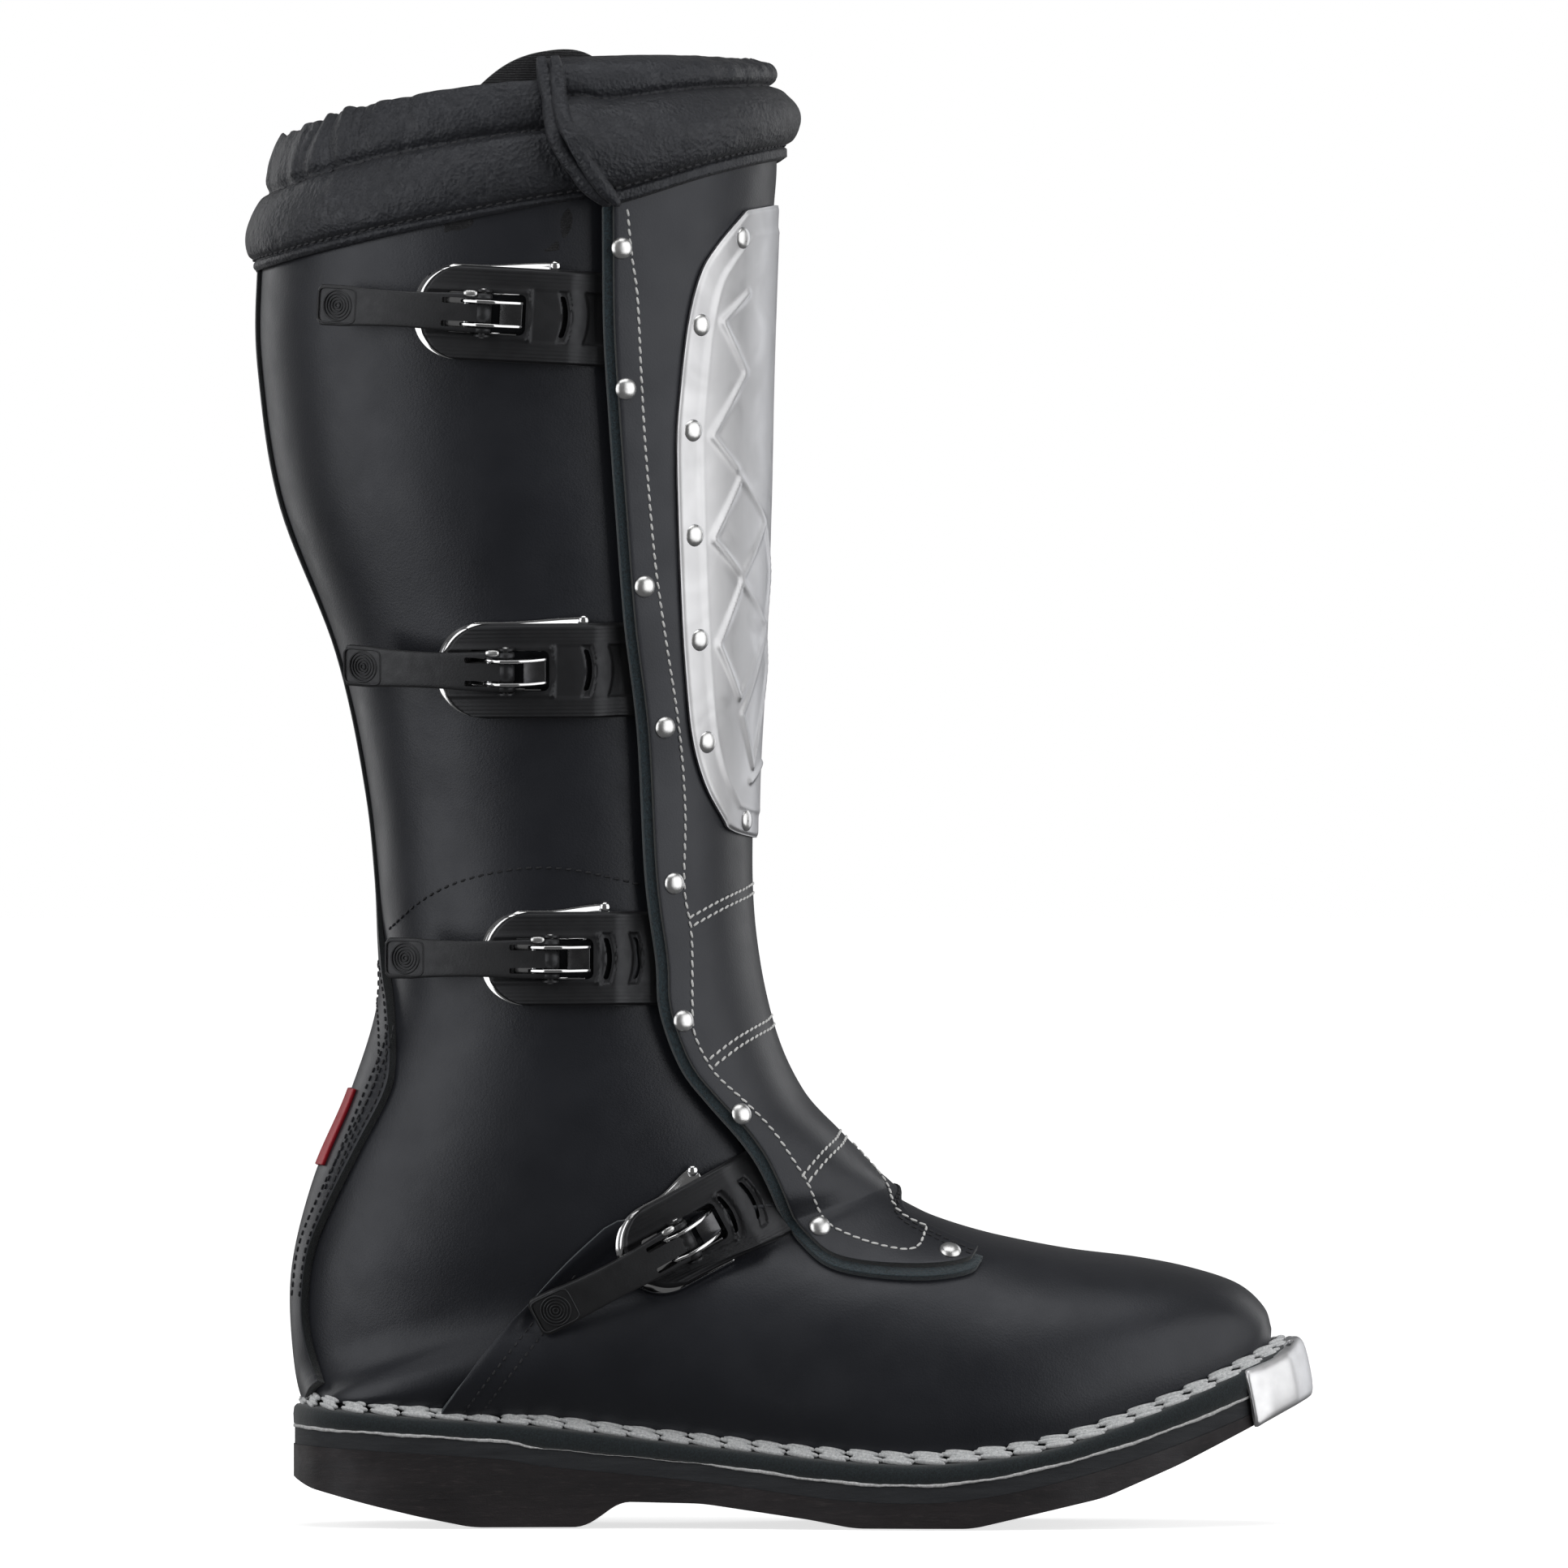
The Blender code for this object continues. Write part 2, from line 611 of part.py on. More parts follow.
def vamp(collection, finish):
    seam = vamp_seam_t(0.05)
    u = np.concatenate([-QUARTER_U[::-1], np.linspace(-0.17, 0.17, 5), QUARTER_U])
    down = np.linspace(0, 1, 11)[:, None]
    t = seam(u) + (LAST_RING - 0.05 - seam(u)) * down**0.9
    return panel("vamp", [(t, np.broadcast_to(u, t.shape))], LEATHER, finish, collection)


def ring_grid(t_rows, first, last, columns):
    u = np.linspace(first, last, columns)
    t = np.asarray(t_rows, float)[:, None] + 0 * u
    return t, np.broadcast_to(u, t.shape)


def lining(collection, finish):
    rows = np.concatenate([np.linspace(0.85, 8, 6), np.linspace(9.3, 13, 4), np.linspace(14.4, 21.6, 6)])
    grids = [ring_grid(rows, 0.0, 1.0, 10), ring_grid(rows, 0.0, -1.0, 10)]
    return panel("lining", grids, LINING, finish, collection)


def stiffeners(collection, finish):
    heel_rows = np.linspace(10.3, 12.9, 7)
    heel = [ring_grid(heel_rows, 0.7, 1.0, 6), ring_grid(heel_rows, -0.7, -1.0, 6)]
    panel("heel_counter", heel, HEEL_STIFFENER, finish, collection)
    toe = ring_grid(np.linspace(18.6, 21.8, 6), -0.92, 0.92, 15)
    panel("toe_puff", [toe], STIFFENER, finish, collection)


def gusset(collection, finish):
    rows = np.concatenate([np.linspace(0.35, 8, 9), np.linspace(9, 11.5, 4)])
    panel("gusset", [ring_grid(rows, -0.52, 0.52, 12)], STIFFENER, finish, collection)


def heel_strip(collection, finishes):
    edge = edge_by_t(HEEL_STRIP_EDGE)
    top, foot = locate([HEEL_STRIP_EDGE[0], HEEL_STRIP_EDGE[-1]])[0]
    down = np.linspace(top, foot - 0.06, 9)
    grids = []
    for side in (1, -1):
        share = np.linspace(0, 1, 4)
        u = edge(down)[:, None] * (1 - share) + share
        grids.append((np.broadcast_to(down[:, None], u.shape), side * u))
    panel("heel_strip", grids, STRIP, finishes["leather"], collection)
    patch_rows = locate([(-39.0, 131.9), (-51.0, 109.6)])[0]
    rows = np.linspace(patch_rows[0], patch_rows[1], 4)
    patch = [ring_grid(rows, 0.93, 1.0, 3), ring_grid(rows, -0.93, -1.0, 3)]
    panel("heel_patch", patch, (STRIP[1] + 0.4, STRIP[1] + 1.2), finishes["red"], collection)


def collars(collection, finish):
    foot, top = edge_by_u(REAR_COLLAR_FOOT), edge_by_u(REAR_COLLAR_TOP)
    u_front = locate([(26.0, 420.0)])[1][0]
    rows = lambda u: (top(u), foot(u))
    grids = both_sides(rows, np.linspace(u_front, 1.0, 10), 6)
    bulge = lambda t, u: 0.4 + 2.6 * np.sin(math.pi * np.clip((t - top(u)) / (foot(u) - top(u)), 0, 1))
    panel("rear_collar", grids, (-2.5, bulge), finish, collection)

    low, high, fold = edge_by_u(FRONT_COLLAR_FOOT), edge_by_u(FRONT_COLLAR_TOP), edge_by_t(FRONT_COLLAR_FOLD)
    down = np.linspace(0, 1, 6)[:, None]
    share = np.linspace(0, 1, 15)
    u = np.broadcast_to(0.5 - share, (6, 15)).copy()
    for _ in range(4):
        t = high(u) + (low(u) - high(u)) * down
        u = fold(t[:, :1]) + (-0.5 - fold(t[:, :1])) * share
    puff = lambda t, u: 5.4 + 4.0 * np.sin(math.pi * np.clip((t - high(u)) / (low(u) - high(u)), 0, 1))
    panel("front_collar", [(t, u)], (4.0, puff), finish, collection)


def flap(collection, finishes):
    grid = flap_grid(18, 13)
    panel("flap_backing", [grid], (on_flap(BACKING[0]), on_flap(BACKING[1])), finishes["suede"], collection)
    panel("flap", [grid], (on_flap(FLAP_TOP[0]), on_flap(FLAP_TOP[1])), finishes["leather"], collection)


def shin_plate(collection, finish):
    edge_t, edge_u = locate(PLATE_EDGE)
    ends = (edge_t[0] - 0.12, edge_t[-1] + 0.12)
    rows = np.linspace(ends[0], ends[1], 13)
    half = np.interp(rows, np.concatenate([ends[:1], edge_t, ends[1:]]), np.concatenate([[0.05], edge_u, [0.05]]))
    u = half[:, None] * np.linspace(1, -1, 9)
    t = np.broadcast_to(rows[:, None], u.shape)
    panel("shin_plate", [(t, u)], PLATE, finish, collection)


def dome(name, t, u, base, finish, collection):
    """A low rivet head standing on the layer whose top is at base."""
    center = offset(t, u, base)
    turn = Vector(normal(t, u)).to_track_quat("Z", "Y").to_matrix().to_4x4()
    mesh = bpy.data.meshes.new(name)
    build = bmesh.new()
    bmesh.ops.create_cone(
        build, cap_ends=True, segments=8, radius1=RIVET_RADIUS * MM, radius2=0.5 * RIVET_RADIUS * MM,
        depth=RIVET_HEIGHT * MM, matrix=Matrix.Translation((0, 0, RIVET_HEIGHT / 2 * MM)),
    )
    build.to_mesh(mesh)
    build.free()
    mesh.materials.append(finish)
    obj = bpy.data.objects.new(name, mesh)
    obj.matrix_world = Matrix.Translation(Vector(center) * MM) @ turn
    collection.objects.link(obj)


def rivets(collection, finish):
    for k, place in enumerate(FLAP_RIVETS, 1):
        t, u = (value[0] for value in locate([place]))
        dome(f"flap_rivet_{k}", t, u, FLAP_TOP[1] + float(flap_raise(t, u)) + 0.9, finish, collection)
    for k, place in enumerate(PLATE_RIVETS, 1):
        t, u = (value[0] for value in locate([place]))
        dome(f"plate_rivet_{k}", t, u, PLATE[1] + 0.7, finish, collection)


# ---------------------------------------------------------------- buckles
def hinge_frame(x, z, slope, lift):
    """The lever hinge's own axes: x along the strap to the front, y across it and z out of the boot."""
    t, u = (value[0] for value in locate([(x, z)]))
    out = Vector(normal(t, u))
    along = Vector((math.cos(math.radians(slope)), 0.0, math.sin(math.radians(slope))))
    along = (along - out * along.dot(out)).normalized()
    across = out.cross(along)
    origin = Vector(offset(t, u, HINGE_HEIGHT)) * MM
    turn = Matrix((along, across, out)).transposed().to_4x4()
    return Matrix.Translation(origin) @ turn @ Matrix.Rotation(math.radians(lift), 4, "Y")


def strap_places(x, z, slope, along, across):
    """t and u of a grid that runs along the strap from under its hinge."""
    turn = math.radians(slope)
    lean = normal(*locate([(x, z)]))[0] * (HINGE_HEIGHT - STRAP_LEVEL[1])
    x, z = x + lean[0], z + lean[2]
    seen_x = x + along * math.cos(turn) - across * math.sin(turn)
    seen_z = z + along * math.sin(turn) + across * math.cos(turn)
    t, u = locate(np.column_stack([seen_x.reshape(-1), seen_z.reshape(-1)]))
    return t.reshape(along.shape), u.reshape(along.shape)


def strap(k, x, z, slope, slot, end, collection, finish):
    rows = np.array([-14.3, -11.7, -8.9, 8.9, 11.7, 14.3])
    rear = -18.5 + 13.5 * (1 - np.sqrt(1 - (rows / STRAP_HALF) ** 2))
    stations = np.array([-3.6, 3.0, 4.4, 12.7, slot, slot + 1.4, slot + 5.5, slot + 11.0, end])
    columns = [rear, (rear - 3.6) / 2] + [np.full(len(rows), place) for place in stations]
    along = np.stack(columns)
    across = np.broadcast_to(rows, along.shape).copy()
    narrow = (np.abs(across) == 8.9) & (along >= 4.4)
    across[narrow] *= 6.6 / 8.9
    t, u = strap_places(x, z, slope, along, across)
    down = smoothstep((along - slot - 1.4) / 9.6)
    levels = [low + (end - low) * down for low, end in zip(STRAP_LEVEL, STRAP_END_LEVEL)]
    openings = [(i, 2) for i in (2, 4, 6)]
    quads = grid_quads(*along.shape, 0, openings)
    outer = offset(t, u, levels[1]).reshape(-1, 3)
    inner = offset(t, u, levels[0]).reshape(-1, 3)
    return thick_sheet(f"strap_{k}", outer, inner, quads, finish, collection)


def base_plate(k, x, z, slope, frame, collection, cutters, finish):
    """The steel plate on the shaft: a D-shaped sheet with two ears that hold the hinge pin."""
    rows = np.linspace(-13.6, 15.4, 6)
    rear = -20.5 + 14.0 * (1 - np.sqrt(1 - np.clip(np.abs(rows - 0.9) / 14.6, 0, 1) ** 2))
    share = np.array([0, 0.5, 1.0, 1.9, 2.8])[:, None]
    along = np.where(share <= 1, rear + (-4.5 - rear) * share, -4.5 + (share - 1) * 14.5)
    across = np.broadcast_to(rows, along.shape)
    t, u = strap_places(x, z, slope, along, across)
    outer = offset(t, u, np.full(t.shape, BASE_LEVEL[1])).reshape(-1, 3)
    inner = offset(t, u, np.full(t.shape, BASE_LEVEL[0])).reshape(-1, 3)
    plate = thick_sheet(f"base_plate_{k}", outer, inner, grid_quads(*along.shape), finish, collection)
    foot = BASE_LEVEL[0] + 0.5 - HINGE_HEIGHT
    outline = [(-2.2, foot), (1.7, foot), (2.1, 0.0), (1.4, 1.9), (-1.4, 1.9), (-2.2, 0.0)]
    hole = rod(f"cut_ear_{k}", HINGE_PIN + PIN_PLAY, 20.0, None, cutters, frame)
    for side in (-1, 1):
        low, high = sorted((side * EAR[0], side * EAR[1]))
        ear = prism(f"ear_{k}_{side + 1}", outline, low, high, None, cutters, frame)
        boolean(plate, ear, "UNION")
    boolean(plate, hole)
    return plate


def lever_outline():
    """The lever from the side: a barrel on the hinge, a deep part for the link pin and a bent tail."""
    barrel = [(HINGE_RADIUS * math.cos(a), HINGE_RADIUS * math.sin(a)) for a in np.radians([-120, -70, -20, 30, 80])]
    over, under = [], []
    bend = math.radians(LEVER_BEND)
    radius = LEVER_LENGTH / bend
    for share in np.linspace(0.12, 1, 5):
        turned = bend * share
        x, z = -radius * math.sin(turned), -radius * (1 - math.cos(turned))
        deep = 1.3 + 1.3 * (1 - smoothstep((share - 0.12) / 0.2))
        nx, nz = -math.sin(turned), math.cos(turned)
        over.append((x + nx * 2.4, z + nz * 2.4))
        under.append((x + nx * (1.5 - deep * 1.25), z + nz * (1.5 - deep * 1.25)))
    return barrel + over + under[::-1]


def lever(k, frame, collection, cutters, finish):
    body = prism(f"lever_{k}", lever_outline(), -LEVER_HALF_WIDTH, LEVER_HALF_WIDTH, finish, collection, frame)
    for side in (-1, 1):
        low, high = sorted((side * SLOT_INNER, side * SLOT_OUTER))
        slot = [(SLOT_REAR, -9.0), (9.0, -9.0), (9.0, 9.0), (SLOT_REAR, 9.0)]
        boolean(body, prism(f"cut_slot_{k}_{side + 1}", slot, low, high, None, cutters, frame))
    boolean(body, rod(f"cut_hinge_{k}", HINGE_PIN + PIN_PLAY, 20.0, None, cutters, frame))
    at_link = frame @ Matrix.Translation((-LINK_ARM * MM, 0, 0))
    boolean(body, rod(f"cut_link_{k}", LINK_PIN + PIN_PLAY, 20.0, None, cutters, at_link))
    return body


def link(k, frame, collection, cutters, finish):
    """The steel link: two walls that arch over the hinge pin and a hooked floor in the strap's opening."""
    at_link = frame @ Matrix.Translation((-LINK_ARM * MM, 0, 0))
    outline = [
        (-1.7, -0.8), (-0.8, -1.8), (0.9, -1.7), (1.9, 0.2), (3.0, 1.9), (6.6, 1.9), (10.1, -2.3),
        (10.4, -5.6), (11.4, -5.6), (11.4, -4.2), (16.6, -4.2), (16.6, -2.4), (12.6, 1.6), (8.2, 3.9),
        (3.4, 4.2), (0.6, 2.6), (-1.0, 1.5), (-1.8, 0.4),
    ]
    body = prism(f"link_{k}", outline, -LINK_OUTER, LINK_OUTER, finish, collection, at_link)
    channel = [(-9.0, -9.0), (9.9, -9.0), (9.9, -3.4), (25.0, -3.4), (25.0, 9.0), (-9.0, 9.0)]
    boolean(body, prism(f"cut_channel_{k}", channel, -LINK_INNER, LINK_INNER, None, cutters, at_link))
    boolean(body, rod(f"cut_eye_{k}", LINK_PIN + PIN_PLAY, 20.0, None, cutters, at_link))
    return body


def buckles(collection, cutters, finishes):
    for k, (x, z, slope, lift, slot, end) in enumerate(BUCKLES, 1):
        frame = hinge_frame(x, z, slope, lift)
        strap(k, x, z, slope, slot, end, collection, finishes["plastic"])
        base_plate(k, x, z, slope, frame, collection, cutters, finishes["chrome"])
        lever(k, frame, collection, cutters, finishes["plastic"])
        link(k, frame, collection, cutters, finishes["chrome"])
        rod(f"hinge_pin_{k}", HINGE_PIN, 2 * EAR[1] + 0.8, finishes["steel"], collection, frame)
        at_link = frame @ Matrix.Translation((-LINK_ARM * MM, 0, 0))
        rod(f"link_pin_{k}", LINK_PIN, 2 * LEVER_HALF_WIDTH + 0.6, finishes["steel"], collection, at_link)


def main():
    clear_scene()
    boot = new_collection("riding_boot")
    cutters = new_collection("cutters")
    finishes = {
        "leather": finish_of("black_leather", (0.018, 0.019, 0.021), 0.42),
        "collar": finish_of("soft_leather", (0.02, 0.02, 0.022), 0.5),
        "suede": finish_of("teal_suede", (0.012, 0.02, 0.026), 0.9),
        "fabric": finish_of("black_fabric", (0.012, 0.012, 0.014), 0.95),
        "lining": finish_of("lining_leather", (0.08, 0.07, 0.06), 0.8),
        "board": finish_of("insole_board", (0.2, 0.14, 0.09), 0.8),
        "cork": finish_of("cork_filler", (0.28, 0.17, 0.09), 0.9),
        "rubber": finish_of("brown_rubber", (0.022, 0.015, 0.015), 0.6),
        "midsole": finish_of("grey_midsole", (0.03, 0.035, 0.04), 0.7),
        "plastic": finish_of("black_plastic", (0.012, 0.012, 0.013), 0.4),
        "red": finish_of("red_patch", (0.35, 0.01, 0.02), 0.45),
        "steel": finish_of("brushed_steel", (0.6, 0.6, 0.6), 0.28, 1.0),
        "chrome": finish_of("chrome", (0.7, 0.7, 0.7), 0.08, 1.0),
    }
    sole(boot, finishes)
    toe_guard(boot, finishes["steel"])
    quarter(boot, finishes["leather"])
    vamp(boot, finishes["leather"])
    lining(boot, finishes["lining"])
    stiffeners(boot, finishes["board"])
    gusset(boot, finishes["fabric"])
    heel_strip(boot, finishes)
    collars(boot, finishes["collar"])
    flap(boot, finishes)
    shin_plate(boot, finishes["steel"])
    rivets(boot, finishes["steel"])
    buckles(boot, cutters, finishes)
    for helper in cutters.objects:
        helper.hide_render = True
        helper.display_type = "WIRE"


main()
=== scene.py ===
"""The riding boot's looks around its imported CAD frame. Shapes repeat the CAD part's own surface in fine
meshes. Lengths here are millimetres, and MM turns them into Blender's metres."""

import math

import bmesh
import bpy
import numpy as np
from mathutils import Matrix, Vector
from mathutils.kdtree import KDTree


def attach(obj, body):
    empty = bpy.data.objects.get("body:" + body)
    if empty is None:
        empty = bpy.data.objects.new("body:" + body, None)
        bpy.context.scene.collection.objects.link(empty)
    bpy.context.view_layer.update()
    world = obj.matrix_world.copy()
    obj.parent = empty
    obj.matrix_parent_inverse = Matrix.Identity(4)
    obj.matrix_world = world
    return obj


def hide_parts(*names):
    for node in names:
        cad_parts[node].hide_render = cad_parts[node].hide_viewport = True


MM = 0.001
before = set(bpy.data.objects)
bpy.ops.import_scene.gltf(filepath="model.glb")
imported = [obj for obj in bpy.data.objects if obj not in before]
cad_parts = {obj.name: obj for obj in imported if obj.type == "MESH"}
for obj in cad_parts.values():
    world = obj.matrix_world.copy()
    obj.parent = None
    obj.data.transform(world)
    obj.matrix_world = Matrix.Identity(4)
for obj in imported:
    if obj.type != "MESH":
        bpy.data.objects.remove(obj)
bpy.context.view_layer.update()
RNG = np.random.default_rng(7)

# ---------------------------------------------------------------- the boot's surface, as in the CAD part
SHAFT_RINGS = [
    (80.0, 458.0, -54.0, 438.0, 55.0, 0.0), (83.0, 420.0, -66.5, 400.0, 59.5, 0.0),
    (82.0, 398.0, -69.3, 378.0, 60.0, 0.0), (80.5, 355.0, -68.9, 352.0, 59.0, 0.0),
    (79.5, 310.0, -62.5, 312.0, 56.5, 0.0), (78.0, 265.0, -45.2, 266.0, 51.0, 0.0),
    (76.0, 222.0, -35.9, 222.0, 45.5, 0.0), (76.6, 183.0, -32.2, 184.0, 43.0, 0.0),
    (82.5, 151.5, -30.5, 160.0, 42.5, 0.0), (92.0, 130.0, -39.0, 131.5, 42.0, 0.0),
    (104.2, 116.3, -50.0, 105.5, 41.5, 0.0), (114.6, 106.0, -56.6, 79.0, 40.0, 2.0),
    (121.0, 102.0, -56.8, 57.0, 38.0, 6.0), (125.0, 99.8, -53.5, 38.5, 36.5, 12.0),
]
FOOT_RINGS = [
    (129.0, 97.6, 50.0, -50.0, 43.0, 44.0, -45.0), (136.0, 94.2, 50.0, -25.0, 46.0, 45.0, -22.0),
    (147.0, 90.5, 50.0, 24.0, 50.0, 48.0, 20.0), (159.0, 87.5, 50.0, 72.0, 56.0, 47.0, 66.0),
    (178.0, 84.0, 46.0, 115.0, 60.0, 45.0, 112.0), (198.4, 81.5, 42.0, 162.0, 59.0, 47.0, 160.0),
    (215.0, 78.2, 37.0, 198.0, 49.0, 52.0, 195.0), (229.5, 73.2, 28.0, 222.0, 36.0, 56.0, 219.0),
    (237.6, 66.0, 18.0, 234.5, 25.0, 58.5, 232.5), (240.0, 59.0, 9.0, 240.0, 12.0, 57.5, 239.5),
]
HEEL_CORNER = len(SHAFT_RINGS) - 1
LAST_RING = len(SHAFT_RINGS) + len(FOOT_RINGS) - 1
BEZIER_FULLNESS = 0.75
OUTLINE = [
    (-59.0, 0.0), (-57.0, 13.0), (-50.5, 25.0), (-39.0, 33.5), (-20.0, 37.5), (5.0, 36.5),
    (35.0, 34.5), (65.0, 37.0), (95.0, 44.5), (125.0, 51.5), (150.0, 54.0), (175.0, 52.5),
    (200.0, 46.5), (220.0, 38.0), (234.0, 28.0), (243.0, 16.5), (246.5, 7.0), (247.0, 0.0),
]
STITCH_HEIGHT = [
    (-60.0, 38.0), (-33.0, 35.2), (15.0, 31.7), (50.0, 27.5), (99.0, 22.1), (130.0, 20.3),
    (152.0, 21.8), (175.0, 25.8), (205.0, 36.2), (229.0, 47.0), (250.0, 58.0),
]
WELT_UNDERSIDE = [
    (-60.0, 30.3), (2.0, 26.5), (18.0, 24.1), (69.0, 19.1), (99.0, 15.1), (120.0, 13.4),
    (140.0, 13.6), (160.0, 16.4), (180.0, 21.1), (200.0, 27.0), (225.0, 36.2), (250.0, 47.0),
]
TREAD = [
    (-60.0, 15.6), (-55.0, 11.9), (-35.0, 6.7), (-20.0, 3.2), (-4.0, 0.0), (30.0, 0.0), (35.0, 3.2),
    (41.0, 7.7), (66.0, 7.2), (99.0, 2.5), (112.0, 0.0), (148.0, 0.0), (188.0, 9.2), (211.0, 19.0),
    (231.0, 29.0), (250.0, 38.5),
]
MIDSOLE = 5.6
FEATHER_INSET = 5.5
TOE_DRIFT = 9.0
ARCH_PINCH = 0.14
FLAP_RAISE = 3.0
FLAP_EDGE = [
    (34.5, 400.0), (34.7, 366.3), (36.0, 341.5), (38.4, 306.8), (40.9, 274.5), (44.6, 242.3),
    (46.9, 197.7), (50.1, 172.1), (51.4, 156.7), (57.5, 139.6), (66.0, 127.7), (78.9, 112.3),
    (87.3, 97.7), (96.0, 85.8), (104.4, 78.9), (117.3, 75.9), (134.4, 75.1), (147.1, 76.9), (151.0, 80.6),
]
PLATE_EDGE = [
    (80.1, 400.3), (71.2, 389.4), (66.0, 380.4), (62.2, 365.1), (59.8, 344.5), (58.8, 329.1),
    (59.3, 303.6), (60.3, 277.8), (61.5, 258.7), (63.5, 239.6), (67.5, 225.4), (73.7, 213.8),
]
HEEL_STRIP_EDGE = [
    (-30.0, 172.9), (-27.8, 158.0), (-27.3, 140.6), (-29.5, 130.7), (-37.2, 115.8), (-45.9, 98.5),
    (-52.0, 83.6), (-54.0, 68.7), (-53.0, 56.3), (-49.0, 43.0),
]
VAMP_SEAM = [(38.4, 92.3), (24.8, 79.9), (12.4, 66.2), (2.5, 53.8), (-5.0, 43.9), (-10.4, 36.5)]
REAR_COLLAR_FOOT = [(-69.0, 383.0), (-50.1, 387.9), (-21.3, 394.3), (9.9, 400.5), (25.3, 403.2)]
REAR_COLLAR_TOP = [(-57.0, 424.0), (-41.0, 430.0), (-21.0, 435.0), (5.2, 438.5), (25.3, 440.0)]
FRONT_COLLAR_FOOT = [(26.0, 403.5), (35.2, 402.0), (62.0, 411.0), (84.0, 417.6)]
FRONT_COLLAR_TOP = [(17.9, 444.4), (49.6, 445.7), (80.6, 445.7)]
FRONT_COLLAR_FOLD = [(17.9, 444.0), (22.3, 420.9), (28.5, 408.5), (34.7, 402.5)]
FLAP_RIVETS = [
    (41.7, 388.1), (42.9, 345.5), (48.6, 285.7), (54.8, 243.0), (57.5, 195.7), (60.3, 154.0),
    (77.9, 125.7), (101.7, 91.5), (141.4, 84.1),
]
PLATE_RIVETS = [
    (78.4, 391.8), (65.7, 365.1), (63.2, 333.1), (63.7, 301.3), (65.2, 269.6), (67.5, 238.6), (79.4, 214.8),
]
BUCKLES = [
    (0.0, 368.5, -3.0, 0.0, 23.4, 43.0), (7.4, 261.0, 0.0, 0.0, 23.4, 43.0),
    (20.3, 173.0, 0.0, 0.0, 16.6, 38.5), (59.8, 88.5, 28.0, 5.5, 16.6, 37.0),
]
HINGE_HEIGHT = 8.0
LINK_ARM = 5.0
HINGE_PIN = (1.1, 7.6)
LINK_PIN = (0.9, 6.1)
STRAP_LEVEL = (3.1, 5.4)
STRAP_END_LEVEL = (0.6, 1.9)
BASE_LEVEL = (0.8, 1.8)
FLAP_INNER_U = -0.42
TIP_ON_CREST = 12.9
TIP_INSIDE = 11.4
WEAR = 3.0
LEATHER = 2.2
FLAP_BACKING_LEVEL = (1.2, 3.55)
FLAP_LEATHER_LEVEL = (3.6, 5.4)
FLAP_TOP = 5.5
PLATE_LEVEL = 7.15


def catmull(values, at):
    """The smooth curve through rows of values, read at fractional row numbers."""
    values = np.asarray(values, float)
    at = np.clip(np.asarray(at, float), 0, len(values) - 1)
    low = np.minimum(at.astype(int), len(values) - 2)
    f = (at - low).reshape(at.shape + (1,) * (values.ndim - 1))
    padded = np.concatenate([2 * values[:1] - values[1:2], values, 2 * values[-1:] - values[-2:-1]])
    a, b, c, d = (padded[low + k] for k in range(4))
    return b + 0.5 * f * (c - a + f * (2 * a - 5 * b + 4 * c - d + f * (3 * (b - c) + d - a)))


def smooth_line(points, per_span=8):
    return catmull(points, np.linspace(0, len(points) - 1, per_span * (len(points) - 1) + 1))


def height_along(points):
    line = smooth_line(points)
    return lambda x: np.interp(x, line[:, 0], line[:, 1])


def worn_along(points):
    """Straight lines through the points, with their corners worn round."""
    x, z = np.array(points).T
    return lambda at: np.mean([np.interp(at + d, x, z) for d in np.linspace(-WEAR, WEAR, 9)], axis=0)


def smoothstep(value):
    value = np.clip(value, 0.0, 1.0)
    return value * value * (3 - 2 * value)


def unit(rows):
    """Every vector of an array at length one."""
    return rows / np.linalg.norm(rows, axis=-1, keepdims=True)


def turns_of(count):
    """Angles at even steps round a whole turn."""
    return np.linspace(0, 2 * math.pi, count, endpoint=False)


def level_at(level, t, u):
    """A level that is a number or a function of t and u, as an array."""
    return level(t, u) if callable(level) else np.full(t.shape, float(level))


stitch_height = height_along(STITCH_HEIGHT)
welt_underside = height_along(WELT_UNDERSIDE)
tread = worn_along(TREAD)


def inset_outline(inset, per_span=8):
    """The sole's half outline moved inwards, as rows of x and half-width from heel to toe."""
    line = smooth_line(OUTLINE, per_span)
    along = unit(np.gradient(line, axis=0))
    moved = line + inset * np.column_stack([along[:, 1], -along[:, 0]])
    moved[0] = line[0] + (inset, 0)
    moved[-1] = line[-1] - (inset, 0)
    moved = moved[np.concatenate([[True], moved[1:, 1] > 0])]
    moved = np.vstack([moved, line[-1] - (inset, 0)])
    return moved[np.argsort(moved[:, 0])]


FEATHER = inset_outline(FEATHER_INSET)


def feather_width(x):
    return np.interp(x, FEATHER[:, 0], FEATHER[:, 1], left=0.0)


def skewed(points):
    """Gives the symmetrical foot its inward toe and its hollow inner arch."""
    points = np.array(points, float)
    x, y, z = points[..., 0], points[..., 1], points[..., 2]
    arch = ARCH_PINCH * np.exp(-(((x - 50) / 42) ** 2)) * smoothstep((110 - z) / 50)
    points[..., 1] = np.where(y > 0, y * (1 - arch), y) + TOE_DRIFT * smoothstep((x - 80) / 170)
    return points


def ring_cage():
    rows = []
    for fx, fz, rx, rz, half, lift in SHAFT_RINGS:
        reach = half / BEZIER_FULLNESS
        rows.append([(fx, 0, fz), (fx, -reach, fz), (rx, -reach, rz + lift), (rx, 0, rz)])
    for fx, fz, reach, sx, sy, sz, welt_x in FOOT_RINGS:
        end = (welt_x, -feather_width(welt_x), stitch_height(welt_x) + 0.7)
        rows.append([(fx, 0, fz), (fx, -reach, fz), (sx, -sy, sz), end])
    return np.array(rows, float)


CAGE = ring_cage()


